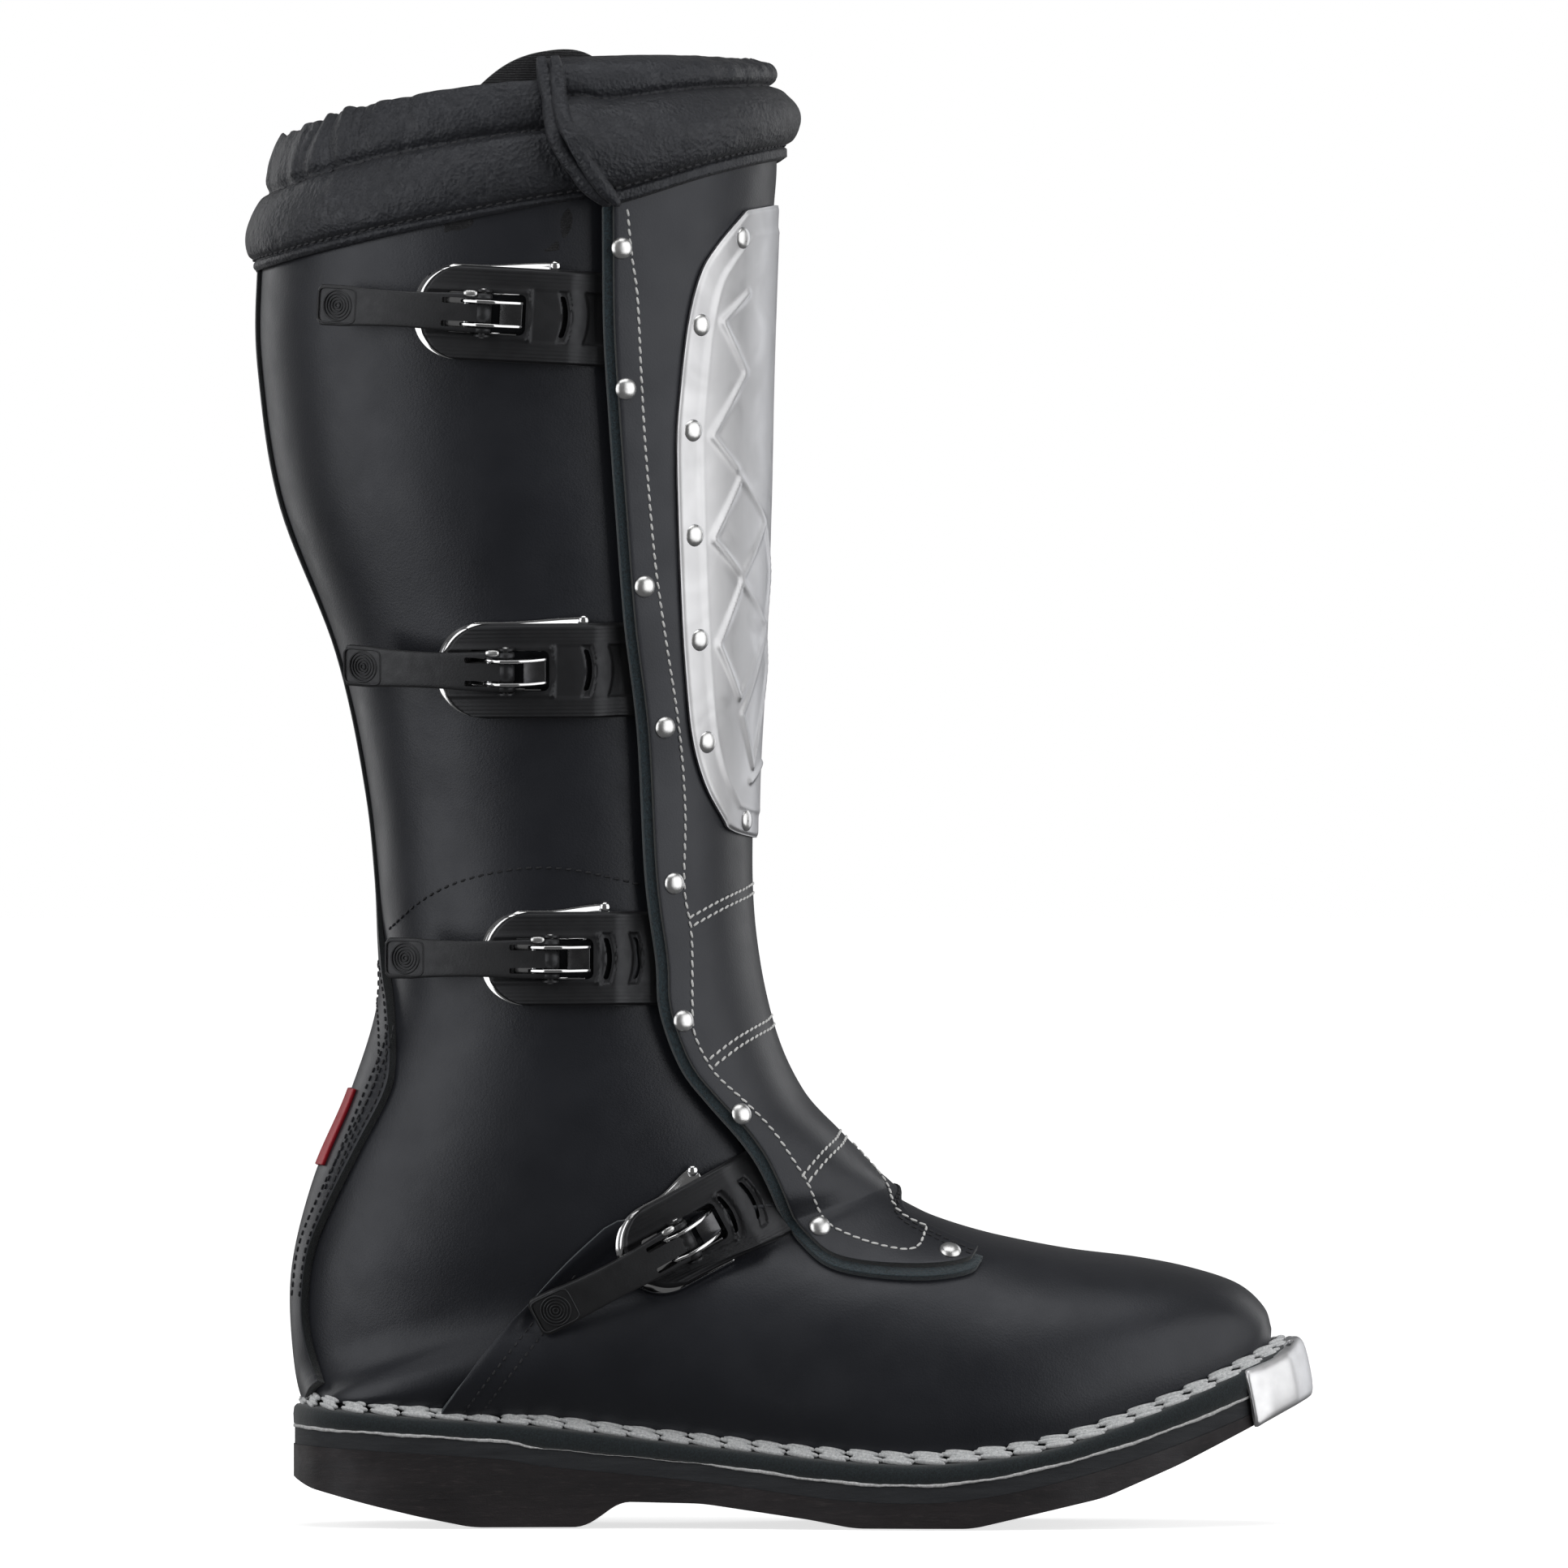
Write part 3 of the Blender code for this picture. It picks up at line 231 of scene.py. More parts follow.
def bare_surface(t, u):
    cage = catmull(CAGE, t)
    foot = t > HEEL_CORNER
    end = cage[..., 3, :]
    cage[..., 3, 1] = np.where(foot, -feather_width(end[..., 0]), 0.0)
    cage[..., 3, 2] = np.where(foot, stitch_height(end[..., 0]) + 0.7, end[..., 2])
    v = np.minimum(np.abs(u), 1.0)[..., None]
    w = 1 - v
    point = w**3 * cage[..., 0, :] + 3 * w * w * v * cage[..., 1, :]
    point = point + 3 * w * v * v * cage[..., 2, :] + v**3 * cage[..., 3, :]
    point[..., 1] *= np.where(u < 0, -1.0, 1.0)
    return skewed(point)


CORNER_REACH = 1.8
CORNER_BLUR = [(k, math.exp(-0.5 * (k / 2.2) ** 2)) for k in range(-4, 5)]
BLUR_STEP = 0.2


def surface(t, u):
    """Points of the outer leather: t runs from the top ring to the toe, u from the front (0) to the back or
    welt (1 outside, -1 inside). The turn from shaft to foot is eased."""
    t, u = np.broadcast_arrays(np.asarray(t, float), np.asarray(u, float))
    point = bare_surface(t, u)
    near = np.abs(t - HEEL_CORNER) < CORNER_REACH
    if near.any():
        here, across = t[near], u[near]
        step = BLUR_STEP * smoothstep(1 - np.abs(here - HEEL_CORNER) / CORNER_REACH)
        step = step * smoothstep((1 - np.abs(across)) / 0.06)
        eased = sum(weight * bare_surface(here + k * step, across) for k, weight in CORNER_BLUR)
        point[near] = eased / sum(weight for _, weight in CORNER_BLUR)
    return point


def normal(t, u):
    t, u = np.broadcast_arrays(np.asarray(t, float), np.asarray(u, float))
    step = 2e-3
    across = surface(t, np.clip(u + step, -1, 1)) - surface(t, np.clip(u - step, -1, 1))
    down = surface(np.clip(t + step, 0, LAST_RING), u) - surface(np.clip(t - step, 0, LAST_RING), u)
    out = np.cross(across, down)
    out[..., 1] = np.where((np.abs(u) >= 1) & (t <= HEEL_CORNER), 0.0, out[..., 1])
    return unit(out)


def offset(t, u, distance):
    return surface(t, u) + normal(t, u) * np.asarray(distance, float)[..., None]


SEARCH_T, SEARCH_U = np.meshgrid(np.linspace(0, LAST_RING, 460), np.linspace(0, 1, 121), indexing="ij")
SEARCH_SIDE = surface(SEARCH_T, SEARCH_U)[..., [0, 2]].reshape(-1, 2)
SEARCH_TREE = KDTree(len(SEARCH_SIDE))
for number, (side_x, side_z) in enumerate(SEARCH_SIDE):
    SEARCH_TREE.insert((side_x, side_z, 0.0), number)
SEARCH_TREE.balance()


def locate(points):
    """t and u of the places on the outer side that are seen at these x, z."""
    wanted = np.atleast_2d(np.asarray(points, float))
    nearest = np.array([SEARCH_TREE.find((x, z, 0.0))[1] for x, z in wanted])
    t, u = SEARCH_T.reshape(-1)[nearest], SEARCH_U.reshape(-1)[nearest]
    step = 1e-3
    for _ in range(5):
        here = surface(t, u)[:, [0, 2]]
        by_t = (surface(t + step, u)[:, [0, 2]] - here) / step
        by_u = (here - surface(t, u - step)[:, [0, 2]]) / step
        miss = wanted - here
        det = by_t[:, 0] * by_u[:, 1] - by_t[:, 1] * by_u[:, 0]
        det = np.where(np.abs(det) < 1e-3, np.inf, det)
        t = t + np.clip((miss[:, 0] * by_u[:, 1] - miss[:, 1] * by_u[:, 0]) / det, -0.1, 0.1)
        u = u + np.clip((by_t[:, 0] * miss[:, 1] - by_t[:, 1] * miss[:, 0]) / det, -0.02, 0.02)
        t, u = np.clip(t, 0, LAST_RING), np.clip(u, 0, 1)
    return t, u


def locate_on(points, level):
    """Like locate, for a layer that stands off the leather by a level, a number or a function of t and u."""
    points = np.atleast_2d(np.asarray(points, float))
    t, u = locate(points)
    for _ in range(3):
        t, u = locate(points - normal(t, u)[:, [0, 2]] * level_at(level, t, u)[:, None])
    return t, u


def edge_by_t(points):
    t, u = locate(points)
    order = np.argsort(t)
    return lambda at: np.interp(at, t[order], u[order])


def edge_by_u(points):
    t, u = locate(points)
    order = np.argsort(u)
    return lambda at: np.interp(np.abs(at), u[order], t[order])


flap_edge_u = edge_by_t(FLAP_EDGE)


def flap_raise(t, u):
    """How far the flap lifts over the strap ends, near its free edge. Its tip lies closer to the vamp."""
    lift = FLAP_RAISE * smoothstep(1 - (flap_edge_u(t) - u) / 0.24) * smoothstep((12.6 - t) / 2.0)
    return lift - 1.5 * smoothstep((t - 11.0) / 1.6)


def value_noise(points, cell, seed=0):
    """Smooth noise from -1 to 1 at points in millimetres, with features about one cell wide."""
    lattice = np.random.default_rng(seed).uniform(-1, 1, (32, 32, 32))
    at = np.asarray(points, float) / cell
    low = np.floor(at).astype(int)
    f = smoothstep(at - low)
    low %= 32
    high = (low + 1) % 32
    total = 0.0
    for i in (0, 1):
        for j in (0, 1):
            for k in (0, 1):
                weight = np.abs(1 - i - f[..., 0]) * np.abs(1 - j - f[..., 1]) * np.abs(1 - k - f[..., 2])
                corner = [(high if bit else low)[..., axis] for axis, bit in enumerate((i, j, k))]
                total = total + weight * lattice[corner[0], corner[1], corner[2]]
    return total


# ---------------------------------------------------------------- materials
class Finish:
    """A procedural material: small helpers that add and wire nodes in object space."""

    def __init__(self, name, roughness=0.5, metallic=0.0, specular=0.5):
        self.material = bpy.data.materials.new(name)
        self.material.use_nodes = True
        self.tree = self.material.node_tree
        self.shader = self.tree.nodes["Principled BSDF"]
        self.shader.inputs["Roughness"].default_value = roughness
        self.shader.inputs["Metallic"].default_value = metallic
        self.shader.inputs["Specular IOR Level"].default_value = specular
        self.shader.inputs["Specular Tint"].default_value = (0.93, 0.95, 1.0, 1.0)
        self.place = self.add("ShaderNodeTexCoord").outputs["Object"]
        self.height = None

    def add(self, kind, **settings):
        node = self.tree.nodes.new(kind)
        for key, value in settings.items():
            setattr(node, key, value)
        return node

    def link(self, a, b):
        self.tree.links.new(a, b)

    def stretched(self, scale):
        """Object coordinates scaled by axis, so that a texture runs long one way."""
        node = self.add("ShaderNodeMapping")
        node.inputs["Scale"].default_value = scale
        self.link(self.place, node.inputs["Vector"])
        return node.outputs["Vector"]

    def noise(self, scale, detail=4.0, rough=0.55, place=None, distortion=0.0):
        node = self.add("ShaderNodeTexNoise")
        node.inputs["Scale"].default_value = scale
        node.inputs["Detail"].default_value = detail
        node.inputs["Roughness"].default_value = rough
        node.inputs["Distortion"].default_value = distortion
        self.link(place or self.place, node.inputs["Vector"])
        return node.outputs["Fac"]

    def cells(self, scale):
        node = self.add("ShaderNodeTexVoronoi", feature="F1")
        node.inputs["Scale"].default_value = scale
        self.link(self.place, node.inputs["Vector"])
        return node.outputs["Distance"]

    def waves(self, scale, axis, distortion):
        node = self.add("ShaderNodeTexWave", bands_direction=axis)
        node.inputs["Scale"].default_value = scale
        node.inputs["Distortion"].default_value = distortion
        self.link(self.place, node.inputs["Vector"])
        return node.outputs["Fac"]

    def ranged(self, value, low, high, to_low, to_high):
        node = self.add("ShaderNodeMapRange")
        for key, number in zip(("From Min", "From Max", "To Min", "To Max"), (low, high, to_low, to_high)):
            node.inputs[key].default_value = number
        self.link(value, node.inputs["Value"])
        return node.outputs["Result"]

    def colors(self, value, stops):
        """Base colour from a value by colour stops."""
        node = self.add("ShaderNodeValToRGB")
        ramp = node.color_ramp
        while len(ramp.elements) < len(stops):
            ramp.elements.new(0.5)
        for element, (position, color) in zip(ramp.elements, stops):
            element.position = position
            element.color = (*color, 1.0)
        self.link(value, node.inputs["Fac"])
        self.link(node.outputs["Color"], self.shader.inputs["Base Color"])
        return node.outputs["Color"]

    def tint(self, color, value, other):
        """Mixes another colour over the base colour where value is high."""
        node = self.add("ShaderNodeMix", data_type="RGBA")
        self.link(value, node.inputs[0])
        self.link(color, node.inputs[6])
        node.inputs[7].default_value = (*other, 1.0)
        self.link(node.outputs[2], self.shader.inputs["Base Color"])
        return node.outputs[2]

    def rough(self, value, low, high):
        self.link(self.ranged(value, 0.3, 0.7, low, high), self.shader.inputs["Roughness"])

    def bump(self, value, depth_mm, strength=1.0):
        node = self.add("ShaderNodeBump")
        node.inputs["Strength"].default_value = strength
        node.inputs["Distance"].default_value = depth_mm * MM
        self.link(value, node.inputs["Height"])
        if self.height is not None:
            self.link(self.height, node.inputs["Normal"])
        self.height = node.outputs["Normal"]
        self.link(self.height, self.shader.inputs["Normal"])


def smooth_leather():
    f = Finish("smooth_black_leather", 0.42)
    f.colors(f.noise(24, 3), [(0.3, (0.0115, 0.0125, 0.0165)), (0.7, (0.0175, 0.019, 0.0245))])
    f.rough(f.noise(70, 5), 0.34, 0.45)
    f.bump(f.noise(28, 2, 0.4), 0.5, 0.5)
    f.bump(f.noise(170, 5, 0.6), 0.10, 0.5)
    f.bump(f.cells(1500), 0.045, 0.6)
    f.bump(f.noise(3800, 2), 0.02, 0.5)
    f.shader.inputs["Sheen Weight"].default_value = 0.06
    return f.material


def soft_leather():
    f = Finish("soft_grained_leather", 0.45)
    f.colors(f.noise(40, 3), [(0.3, (0.012, 0.013, 0.0165)), (0.7, (0.021, 0.0225, 0.028))])
    f.rough(f.noise(90, 5), 0.33, 0.5)
    f.bump(f.noise(65, 3, 0.5, distortion=0.6), 0.9, 0.5)
    f.bump(f.noise(230, 6, 0.7, distortion=1.6), 0.55, 0.8)
    f.bump(f.cells(800), 0.25, 0.9)
    f.bump(f.noise(3000, 2), 0.03, 0.5)
    f.shader.inputs["Sheen Weight"].default_value = 0.08
    return f.material


def suede(name, dark, light, depth=0.35):
    f = Finish(name, 0.95, specular=0.2)
    f.colors(f.noise(1700, 4, 0.7), [(0.35, dark), (0.72, light)])
    f.bump(f.noise(900, 5, 0.75), depth, 0.9)
    f.bump(f.noise(3600, 2, 0.7), depth * 0.5, 0.8)
    f.shader.inputs["Sheen Weight"].default_value = 0.35
    f.shader.inputs["Sheen Roughness"].default_value = 0.6
    return f.material


def woven_fabric():
    f = Finish("napped_fabric", 0.95, specular=0.2)
    f.colors(f.noise(1500, 3), [(0.3, (0.006, 0.006, 0.007)), (0.75, (0.03, 0.03, 0.033))])
    f.bump(f.waves(420, "Z", 1.5), 0.25, 0.7)
    f.bump(f.noise(2200, 4, 0.8), 0.35, 0.9)
    f.shader.inputs["Sheen Weight"].default_value = 0.4
    return f.material


def outsole_rubber():
    f = Finish("brown_black_rubber", 0.6)
    place = f.stretched((0.3, 0.3, 1.8))
    stops = [(0.3, (0.0075, 0.0058, 0.006)), (0.7, (0.021, 0.0155, 0.0155))]
    color = f.colors(f.noise(70, 5, 0.6, place), stops)
    f.tint(color, f.ranged(f.noise(480, 3, 0.7, place), 0.56, 0.75, 0.0, 0.5), (0.055, 0.043, 0.042))
    f.rough(f.noise(60, 4), 0.5, 0.75)
    f.bump(f.noise(350, 5, 0.7, f.stretched((0.25, 0.25, 1.6))), 0.22, 0.7)
    f.bump(f.noise(1900, 3), 0.08, 0.7)
    return f.material


def midsole_board():
    f = Finish("grey_midsole_board", 0.7)
    place = f.stretched((0.3, 0.6, 3.0))
    f.colors(f.noise(160, 5, 0.65, place), [(0.3, (0.013, 0.014, 0.016)), (0.75, (0.032, 0.034, 0.037))])
    f.bump(f.noise(420, 4, 0.7, place), 0.2, 0.7)
    f.bump(f.noise(2100, 3), 0.1, 0.7)
    return f.material


def brushed_steel():
    f = Finish("brushed_stainless_steel", 0.3, 1.0)
    f.colors(f.noise(30, 4), [(0.3, (0.57, 0.57, 0.58)), (0.7, (0.65, 0.65, 0.66))])
    swirl = f.noise(42, 2, 0.5, distortion=2.2)
    f.rough(swirl, 0.33, 0.46)
    f.bump(f.noise(55, 2, 0.4), 0.25, 0.5)
    f.bump(f.noise(900, 3, 0.6, f.stretched((1.0, 1.0, 0.05))), 0.02, 0.5)
    f.shader.inputs["Anisotropic"].default_value = 0.35
    return f.material


def satin_steel():
    f = Finish("satin_rivet_steel", 0.32, 1.0)
    f.colors(f.noise(200, 3), [(0.3, (0.74, 0.74, 0.74)), (0.7, (0.86, 0.86, 0.85))])
    f.rough(f.noise(700, 4), 0.26, 0.38)
    f.bump(f.noise(600, 4, 0.6), 0.03, 0.6)
    return f.material


def dull_steel():
    f = Finish("guard_steel", 0.38, 1.0)
    f.colors(f.noise(120, 4), [(0.3, (0.8, 0.8, 0.81)), (0.7, (0.9, 0.9, 0.91))])
    f.rough(f.noise(160, 4), 0.4, 0.52)
    f.bump(f.noise(90, 3, 0.5), 0.12, 0.5)
    f.bump(f.noise(1400, 3, 0.6, f.stretched((0.2, 0.2, 1.0))), 0.02, 0.6)
    return f.material


# Painted shade: a darkened copy of the link's steel, for the link floor that lies in shadow in the strap's
# opening.
def dark_steel():
    f = Finish("link_steel_painted_shade", 0.3, 1.0)
    f.colors(f.noise(90, 3), [(0.3, (0.1, 0.1, 0.105)), (0.7, (0.17, 0.17, 0.175))])
    f.rough(f.noise(260, 5), 0.2, 0.36)
    f.bump(f.noise(500, 3, 0.6), 0.03, 0.5)
    return f.material


def bright_chrome():
    f = Finish("bright_nickel", 0.1, 1.0)
    f.colors(f.noise(90, 3), [(0.3, (0.66, 0.66, 0.67)), (0.7, (0.78, 0.78, 0.78))])
    f.rough(f.noise(260, 5), 0.05, 0.17)
    f.bump(f.noise(120, 2, 0.5), 0.05, 0.5)
    return f.material


def moulded_plastic(name, dark, light, grain, depth, roughness):
    f = Finish(name, roughness)
    f.colors(f.noise(60, 3), [(0.3, dark), (0.7, light)])
    f.rough(f.noise(300, 4), roughness - 0.05, roughness + 0.08)
    f.bump(f.cells(grain), depth, 0.7)
    f.bump(f.noise(grain * 2, 3), depth * 0.5, 0.5)
    return f.material


def thread(name, dark, light, depth=0.12):
    f = Finish(name, 0.7)
    f.colors(f.noise(1300, 3, 0.7), [(0.3, dark), (0.72, light)])
    f.bump(f.noise(2600, 4, 0.7), depth, 0.8)
    return f.material


def plain_finish(name, dark, light, scale, roughness, depth):
    f = Finish(name, roughness)
    f.colors(f.noise(scale, 5, 0.6), [(0.3, dark), (0.7, light)])
    f.rough(f.noise(scale * 0.6, 4), roughness - 0.08, roughness + 0.08)
    f.bump(f.noise(scale * 4, 5, 0.7), depth, 0.8)
    return f.material


LOOKS = {
    "leather": smooth_leather(),
    "soft_leather": soft_leather(),
    "suede": suede("teal_suede_edge", (0.005, 0.01, 0.0135), (0.034, 0.066, 0.082)),
    "cut_edge": suede("dark_cut_edge", (0.0035, 0.0045, 0.005), (0.013, 0.019, 0.021), 0.2),
    "welt": suede("welt_leather", (0.003, 0.006, 0.0075), (0.017, 0.028, 0.033), 0.14),
    "fabric": woven_fabric(),
    "rubber": outsole_rubber(),
    "midsole": midsole_board(),
    "white_line": thread("white_welt_line", (0.42, 0.42, 0.42), (0.8, 0.8, 0.8)),
    "steel": brushed_steel(),
    "rivet": satin_steel(),
    "guard": dull_steel(),
    "chrome": bright_chrome(),
    "dark_steel": dark_steel(),
    "plastic": moulded_plastic(
        "lever_plastic", (0.016, 0.016, 0.017), (0.024, 0.024, 0.025), 1500, 0.03, 0.42
    ),
    "strap": moulded_plastic(
        "strap_plastic", (0.011, 0.011, 0.012), (0.017, 0.017, 0.018), 2200, 0.015, 0.45
    ),
    "white_thread": thread("white_thread", (0.66, 0.66, 0.65), (0.9, 0.9, 0.88)),
    "black_thread": thread("black_thread", (0.01, 0.01, 0.011), (0.034, 0.034, 0.037)),
    # Painted glint: the collars' black thread is coloured lighter grey, standing in for light caught by the
    # glossy thread.
    "collar_thread": thread("waxed_thread_painted_glint", (0.022, 0.022, 0.024), (0.07, 0.07, 0.075)),
    "braid": thread("waxed_grey_braid", (0.5, 0.51, 0.52), (0.9, 0.91, 0.91), 0.2),
    "red": plain_finish("red_patch_finish", (0.36, 0.006, 0.014), (0.47, 0.014, 0.025), 90, 0.42, 0.05),
    "lining": plain_finish("lining_finish", (0.035, 0.032, 0.03), (0.06, 0.055, 0.05), 200, 0.8, 0.12),
    "board": plain_finish("fibre_board_finish", (0.1, 0.07, 0.045), (0.2, 0.14, 0.09), 300, 0.8, 0.2),
    "cork": plain_finish("cork_finish", (0.16, 0.09, 0.045), (0.34, 0.21, 0.12), 400, 0.9, 0.4),
}


# ---------------------------------------------------------------- mesh makers
def piece(name, points, faces, look, body="boot", slot=None, replaces=(), finishes=None, bevel=0.0):
    """A mesh from points in millimetres that rides on a body. finishes gives a material number per face."""
    mesh = bpy.data.meshes.new(name)
    mesh.from_pydata((np.asarray(points, float) * MM).tolist(), [], [list(map(int, face)) for face in faces])
    for key in ([look] if isinstance(look, str) else look):
        mesh.materials.append(LOOKS[key])
    if finishes is not None:
        mesh.polygons.foreach_set("material_index", np.asarray(finishes, np.int32))
    build = bmesh.new()
    build.from_mesh(mesh)
    bmesh.ops.recalc_face_normals(build, faces=build.faces)
    if build.calc_volume(signed=True) < 0:
        bmesh.ops.reverse_faces(build, faces=build.faces)
    for face in build.faces:
        face.smooth = True
    build.to_mesh(mesh)
    build.free()
    obj = bpy.data.objects.new(name, mesh)
    bpy.context.scene.collection.objects.link(obj)
    if bevel:
        edge = obj.modifiers.new("soft_edges", "BEVEL")
        edge.width = bevel * MM
        edge.segments = 2
        edge.limit_method = "ANGLE"
        edge.angle_limit = math.radians(50)
    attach(obj, body)
    if replaces:
        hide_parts(*replaces)
    return obj


def thick_grids(name, grids, look, edge_look=None, **rest):
    """A closed piece from grids of outer and inner points: both faces, and a wall along every free edge."""
    outer, inner, quads, start = [], [], [], 0
    for top, under in grids:
        rows, columns = top.shape[:2]
        index = start + np.arange(rows * columns).reshape(rows, columns)
        corners = [index[:-1, :-1], index[:-1, 1:], index[1:, 1:], index[1:, :-1]]
        quads.append(np.stack(corners, -1).reshape(-1, 4))
        outer.append(top.reshape(-1, 3))
        inner.append(under.reshape(-1, 3))
        start += rows * columns
    outer, inner, quads = np.vstack(outer), np.vstack(inner), np.vstack(quads)
    _, first, index = np.unique(np.round(outer, 3), axis=0, return_index=True, return_inverse=True)
    index = index.reshape(-1)
    outer, inner, quads = outer[first], inner[first], index[quads]
    count = len(outer)
    ends = np.stack([quads, np.roll(quads, -1, axis=1)], -1).reshape(-1, 2)
    _, which, times = np.unique(np.sort(ends, axis=1), axis=0, return_index=True, return_counts=True)
    free = ends[which[times == 1]]
    walls = np.column_stack([free[:, 1], free[:, 0], free[:, 0] + count, free[:, 1] + count])
    faces = []
    for quad in quads.tolist() + (quads[:, ::-1] + count).tolist() + walls.tolist():
        ring = list(dict.fromkeys(quad))
        if len(ring) > 2:
            faces.append(ring)
    looks, finishes = look, None
    if edge_look:
        looks = [look, edge_look]
        finishes = [0] * (len(faces) - len(walls)) + [1] * len(walls)
    return piece(name, np.vstack([outer, inner]), faces, looks, finishes=finishes, **rest)


def leather_sheet(name, grids, low, high, look="leather", edge_look="cut_edge", **rest):
    """A panel of the boot between two distances from its surface, over grids of t and u."""
    made = []
    for t, u in grids:
        made.append((offset(t, u, level_at(high, t, u)), offset(t, u, level_at(low, t, u))))
    return thick_grids(name, made, look, edge_look, **rest)


def band_faces(count, size, closed=False, start=0):
    """Faces between neighbouring sections, and from the last back to the first if closed."""
    faces = []
    for k in range(count if closed else count - 1):
        low, high = start + k * size, start + (k + 1) % count * size
        for i in range(size):
            j = (i + 1) % size
            faces.append([low + i, low + j, high + j, high + i])
    return faces


def closed_loft(name, sections, look, **rest):
    """Equal closed sections joined in order, with both ends capped."""
    sections = np.asarray(sections, float)
    count, size = sections.shape[:2]
    caps = [list(range(size)), list(range((count - 1) * size, count * size))]
    return piece(name, sections.reshape(-1, 3), caps + band_faces(count, size), look, **rest)


def closed_ring(name, sections, look, **rest):
    """Equal closed sections joined in order and back to the first."""
    sections = np.asarray(sections, float)
    faces = band_faces(*sections.shape[:2], closed=True)
    return piece(name, sections.reshape(-1, 3), faces, look, **rest)


def even_path(points, gap, normals=None):
    """Points of a 3-D path at even steps, with its directions and the surface normals along it."""
    points = np.asarray(points, float)
    steps = np.linalg.norm(np.diff(points, axis=0), axis=1)
    along = np.concatenate([[0], np.cumsum(steps)])
    count = max(2, int(round(along[-1] / gap)) + 1)
    at = np.linspace(0, along[-1], count)
    read = lambda rows: np.stack([np.interp(at, along, rows[:, k]) for k in range(3)], axis=1)
    places = read(points)
    ways = unit(np.gradient(places, axis=0))
    if normals is None:
        return places, ways
    out = read(np.asarray(normals, float))
    out -= (out * ways).sum(axis=1, keepdims=True) * ways
    return places, ways, unit(out)


def bead():
    """A unit capsule-like bead along x: points and faces."""
    sides, inner, power = 8, 5, 0.55
    angles = np.linspace(0, math.pi, inner + 2)
    x = -np.cos(angles)
    radius = np.sin(angles) ** power
    points = []
    for xi, ri in zip(x[1:-1], radius[1:-1]):
        points += [(xi, ri * math.cos(a), ri * math.sin(a)) for a in turns_of(sides)]
    points += [(-1, 0, 0), (1, 0, 0)]
    faces = band_faces(inner, sides)
    for i in range(sides):
        j = (i + 1) % sides
        faces.append([j, i, inner * sides])
        faces.append([(inner - 1) * sides + i, (inner - 1) * sides + j, inner * sides + 1])
    return np.array(points), faces


BEAD_POINTS, BEAD_FACES = bead()


def beads(name, centres, ways, outs, sizes, look, **rest):
    """Many beads in one piece: each with its centre, direction, surface normal and half sizes."""
    points, faces = [], []
    for k, (centre, way, out, size) in enumerate(zip(centres, ways, outs, sizes)):
        across = np.cross(out, way)
        turn = np.stack([way * size[0], across * size[1], out * size[2]], axis=0)
        points.append(centre + BEAD_POINTS @ turn)
        start = k * len(BEAD_POINTS)
        faces += [[start + i for i in face] for face in BEAD_FACES]
    return piece(name, np.vstack(points), faces, look, **rest)


def on_level(t, u, level):
    """Points on a layer of the boot, with its normals there."""
    return offset(t, u, level_at(level, t, u)), normal(t, u)


def surface_path(places, level, side=1):
    """A path along the leather through places seen at x, z, with its normals. side -1 is the inner side."""
    t, u = locate_on(smooth_line(places, 6), level)
    return on_level(t, u * side, level)


def stitches(name, paths, look, pitch=3.2, share=0.74, width=0.85, lean=0.12):
    """Lock stitches along paths of points and normals, all in one piece."""
    centres, ways, outs, sizes = [], [], [], []
    for points, normals in paths:
        places, way, out = even_path(points, pitch, normals)
        middle = (places[1:] + places[:-1]) / 2
        w = unit(way[:-1] + np.cross(out[:-1], way[:-1]) * lean)
        vary = RNG.uniform(0.92, 1.06, len(middle))
        half = np.linalg.norm(places[1:] - places[:-1], axis=1) * share / 2 * vary
        centres.append(middle + out[:-1] * 0.05)
        ways.append(w)
        outs.append(out[:-1])
        sizes.append(np.column_stack([half, np.full(len(half), width / 2), np.full(len(half), width * 0.42)]))
    return beads(name, np.vstack(centres), np.vstack(ways), np.vstack(outs), np.vstack(sizes), look)


def shifted(places, across):
    """The same line of places moved sideways, for the second row of a double seam."""
    line = smooth_line(places, 4)
    way = unit(np.gradient(line, axis=0))
    return line + across * np.column_stack([-way[:, 1], way[:, 0]])


def sharpened(obj, degrees):
    """Shades a piece smoothly, apart from edges that turn by more than this."""
    for face in obj.data.polygons:
        face.use_smooth = True
    obj.data.set_sharp_from_angle(angle=math.radians(degrees))


# ---------------------------------------------------------------- sole
def sole_slab(name, inset, under, over, look, node):
    """A layer of the sole between two heights, each a function of x."""
    line = inset_outline(inset, 20)
    x, y = line[:, 0], np.maximum(line[:, 1], 0.4)
    across = np.array([-1.0, -0.985, -0.6, 0.0, 0.6, 0.985, 1.0])
    grids = []
    for height in (over(x), under(x)):
        z = np.broadcast_to(height[:, None], (len(x), len(across)))
        grid = np.stack([np.broadcast_to(x[:, None], z.shape), y[:, None] * across, z], axis=-1)
        grids.append(skewed(grid))
    sharpened(thick_grids(name, [tuple(grids)], look, bevel=0.7, slot=look, replaces=[node]), 35)


def loop_of(inset):
    half = inset_outline(inset, 16)
    return np.vstack([half * (1, -1), half[1:-1][::-1]])


def ring_from(profile_of):
    """Sections round the sole. profile_of(x) gives rows of inset and height."""
    loop = loop_of(0.0)
    way = unit(np.roll(loop, -1, axis=0) - np.roll(loop, 1, axis=0))
    inward = np.column_stack([-way[:, 1], way[:, 0]])
    sections = []
    for place, into in zip(loop, inward):
        sections.append([(*(place + into * d), z) for d, z in profile_of(place[0])])
    return skewed(np.array(sections))


def welt_profile(x):
    low, high = float(welt_underside(x)), float(stitch_height(x)) - 1.0
    return [
        (0.7, low), (0.0, low + 0.5), (-0.15, (low + high) / 2), (0.1, high - 1.2), (0.9, high - 0.3),
        (2.2, high), (5.5, high + 0.4), (13.0, high + 0.2), (13.0, low),
    ]


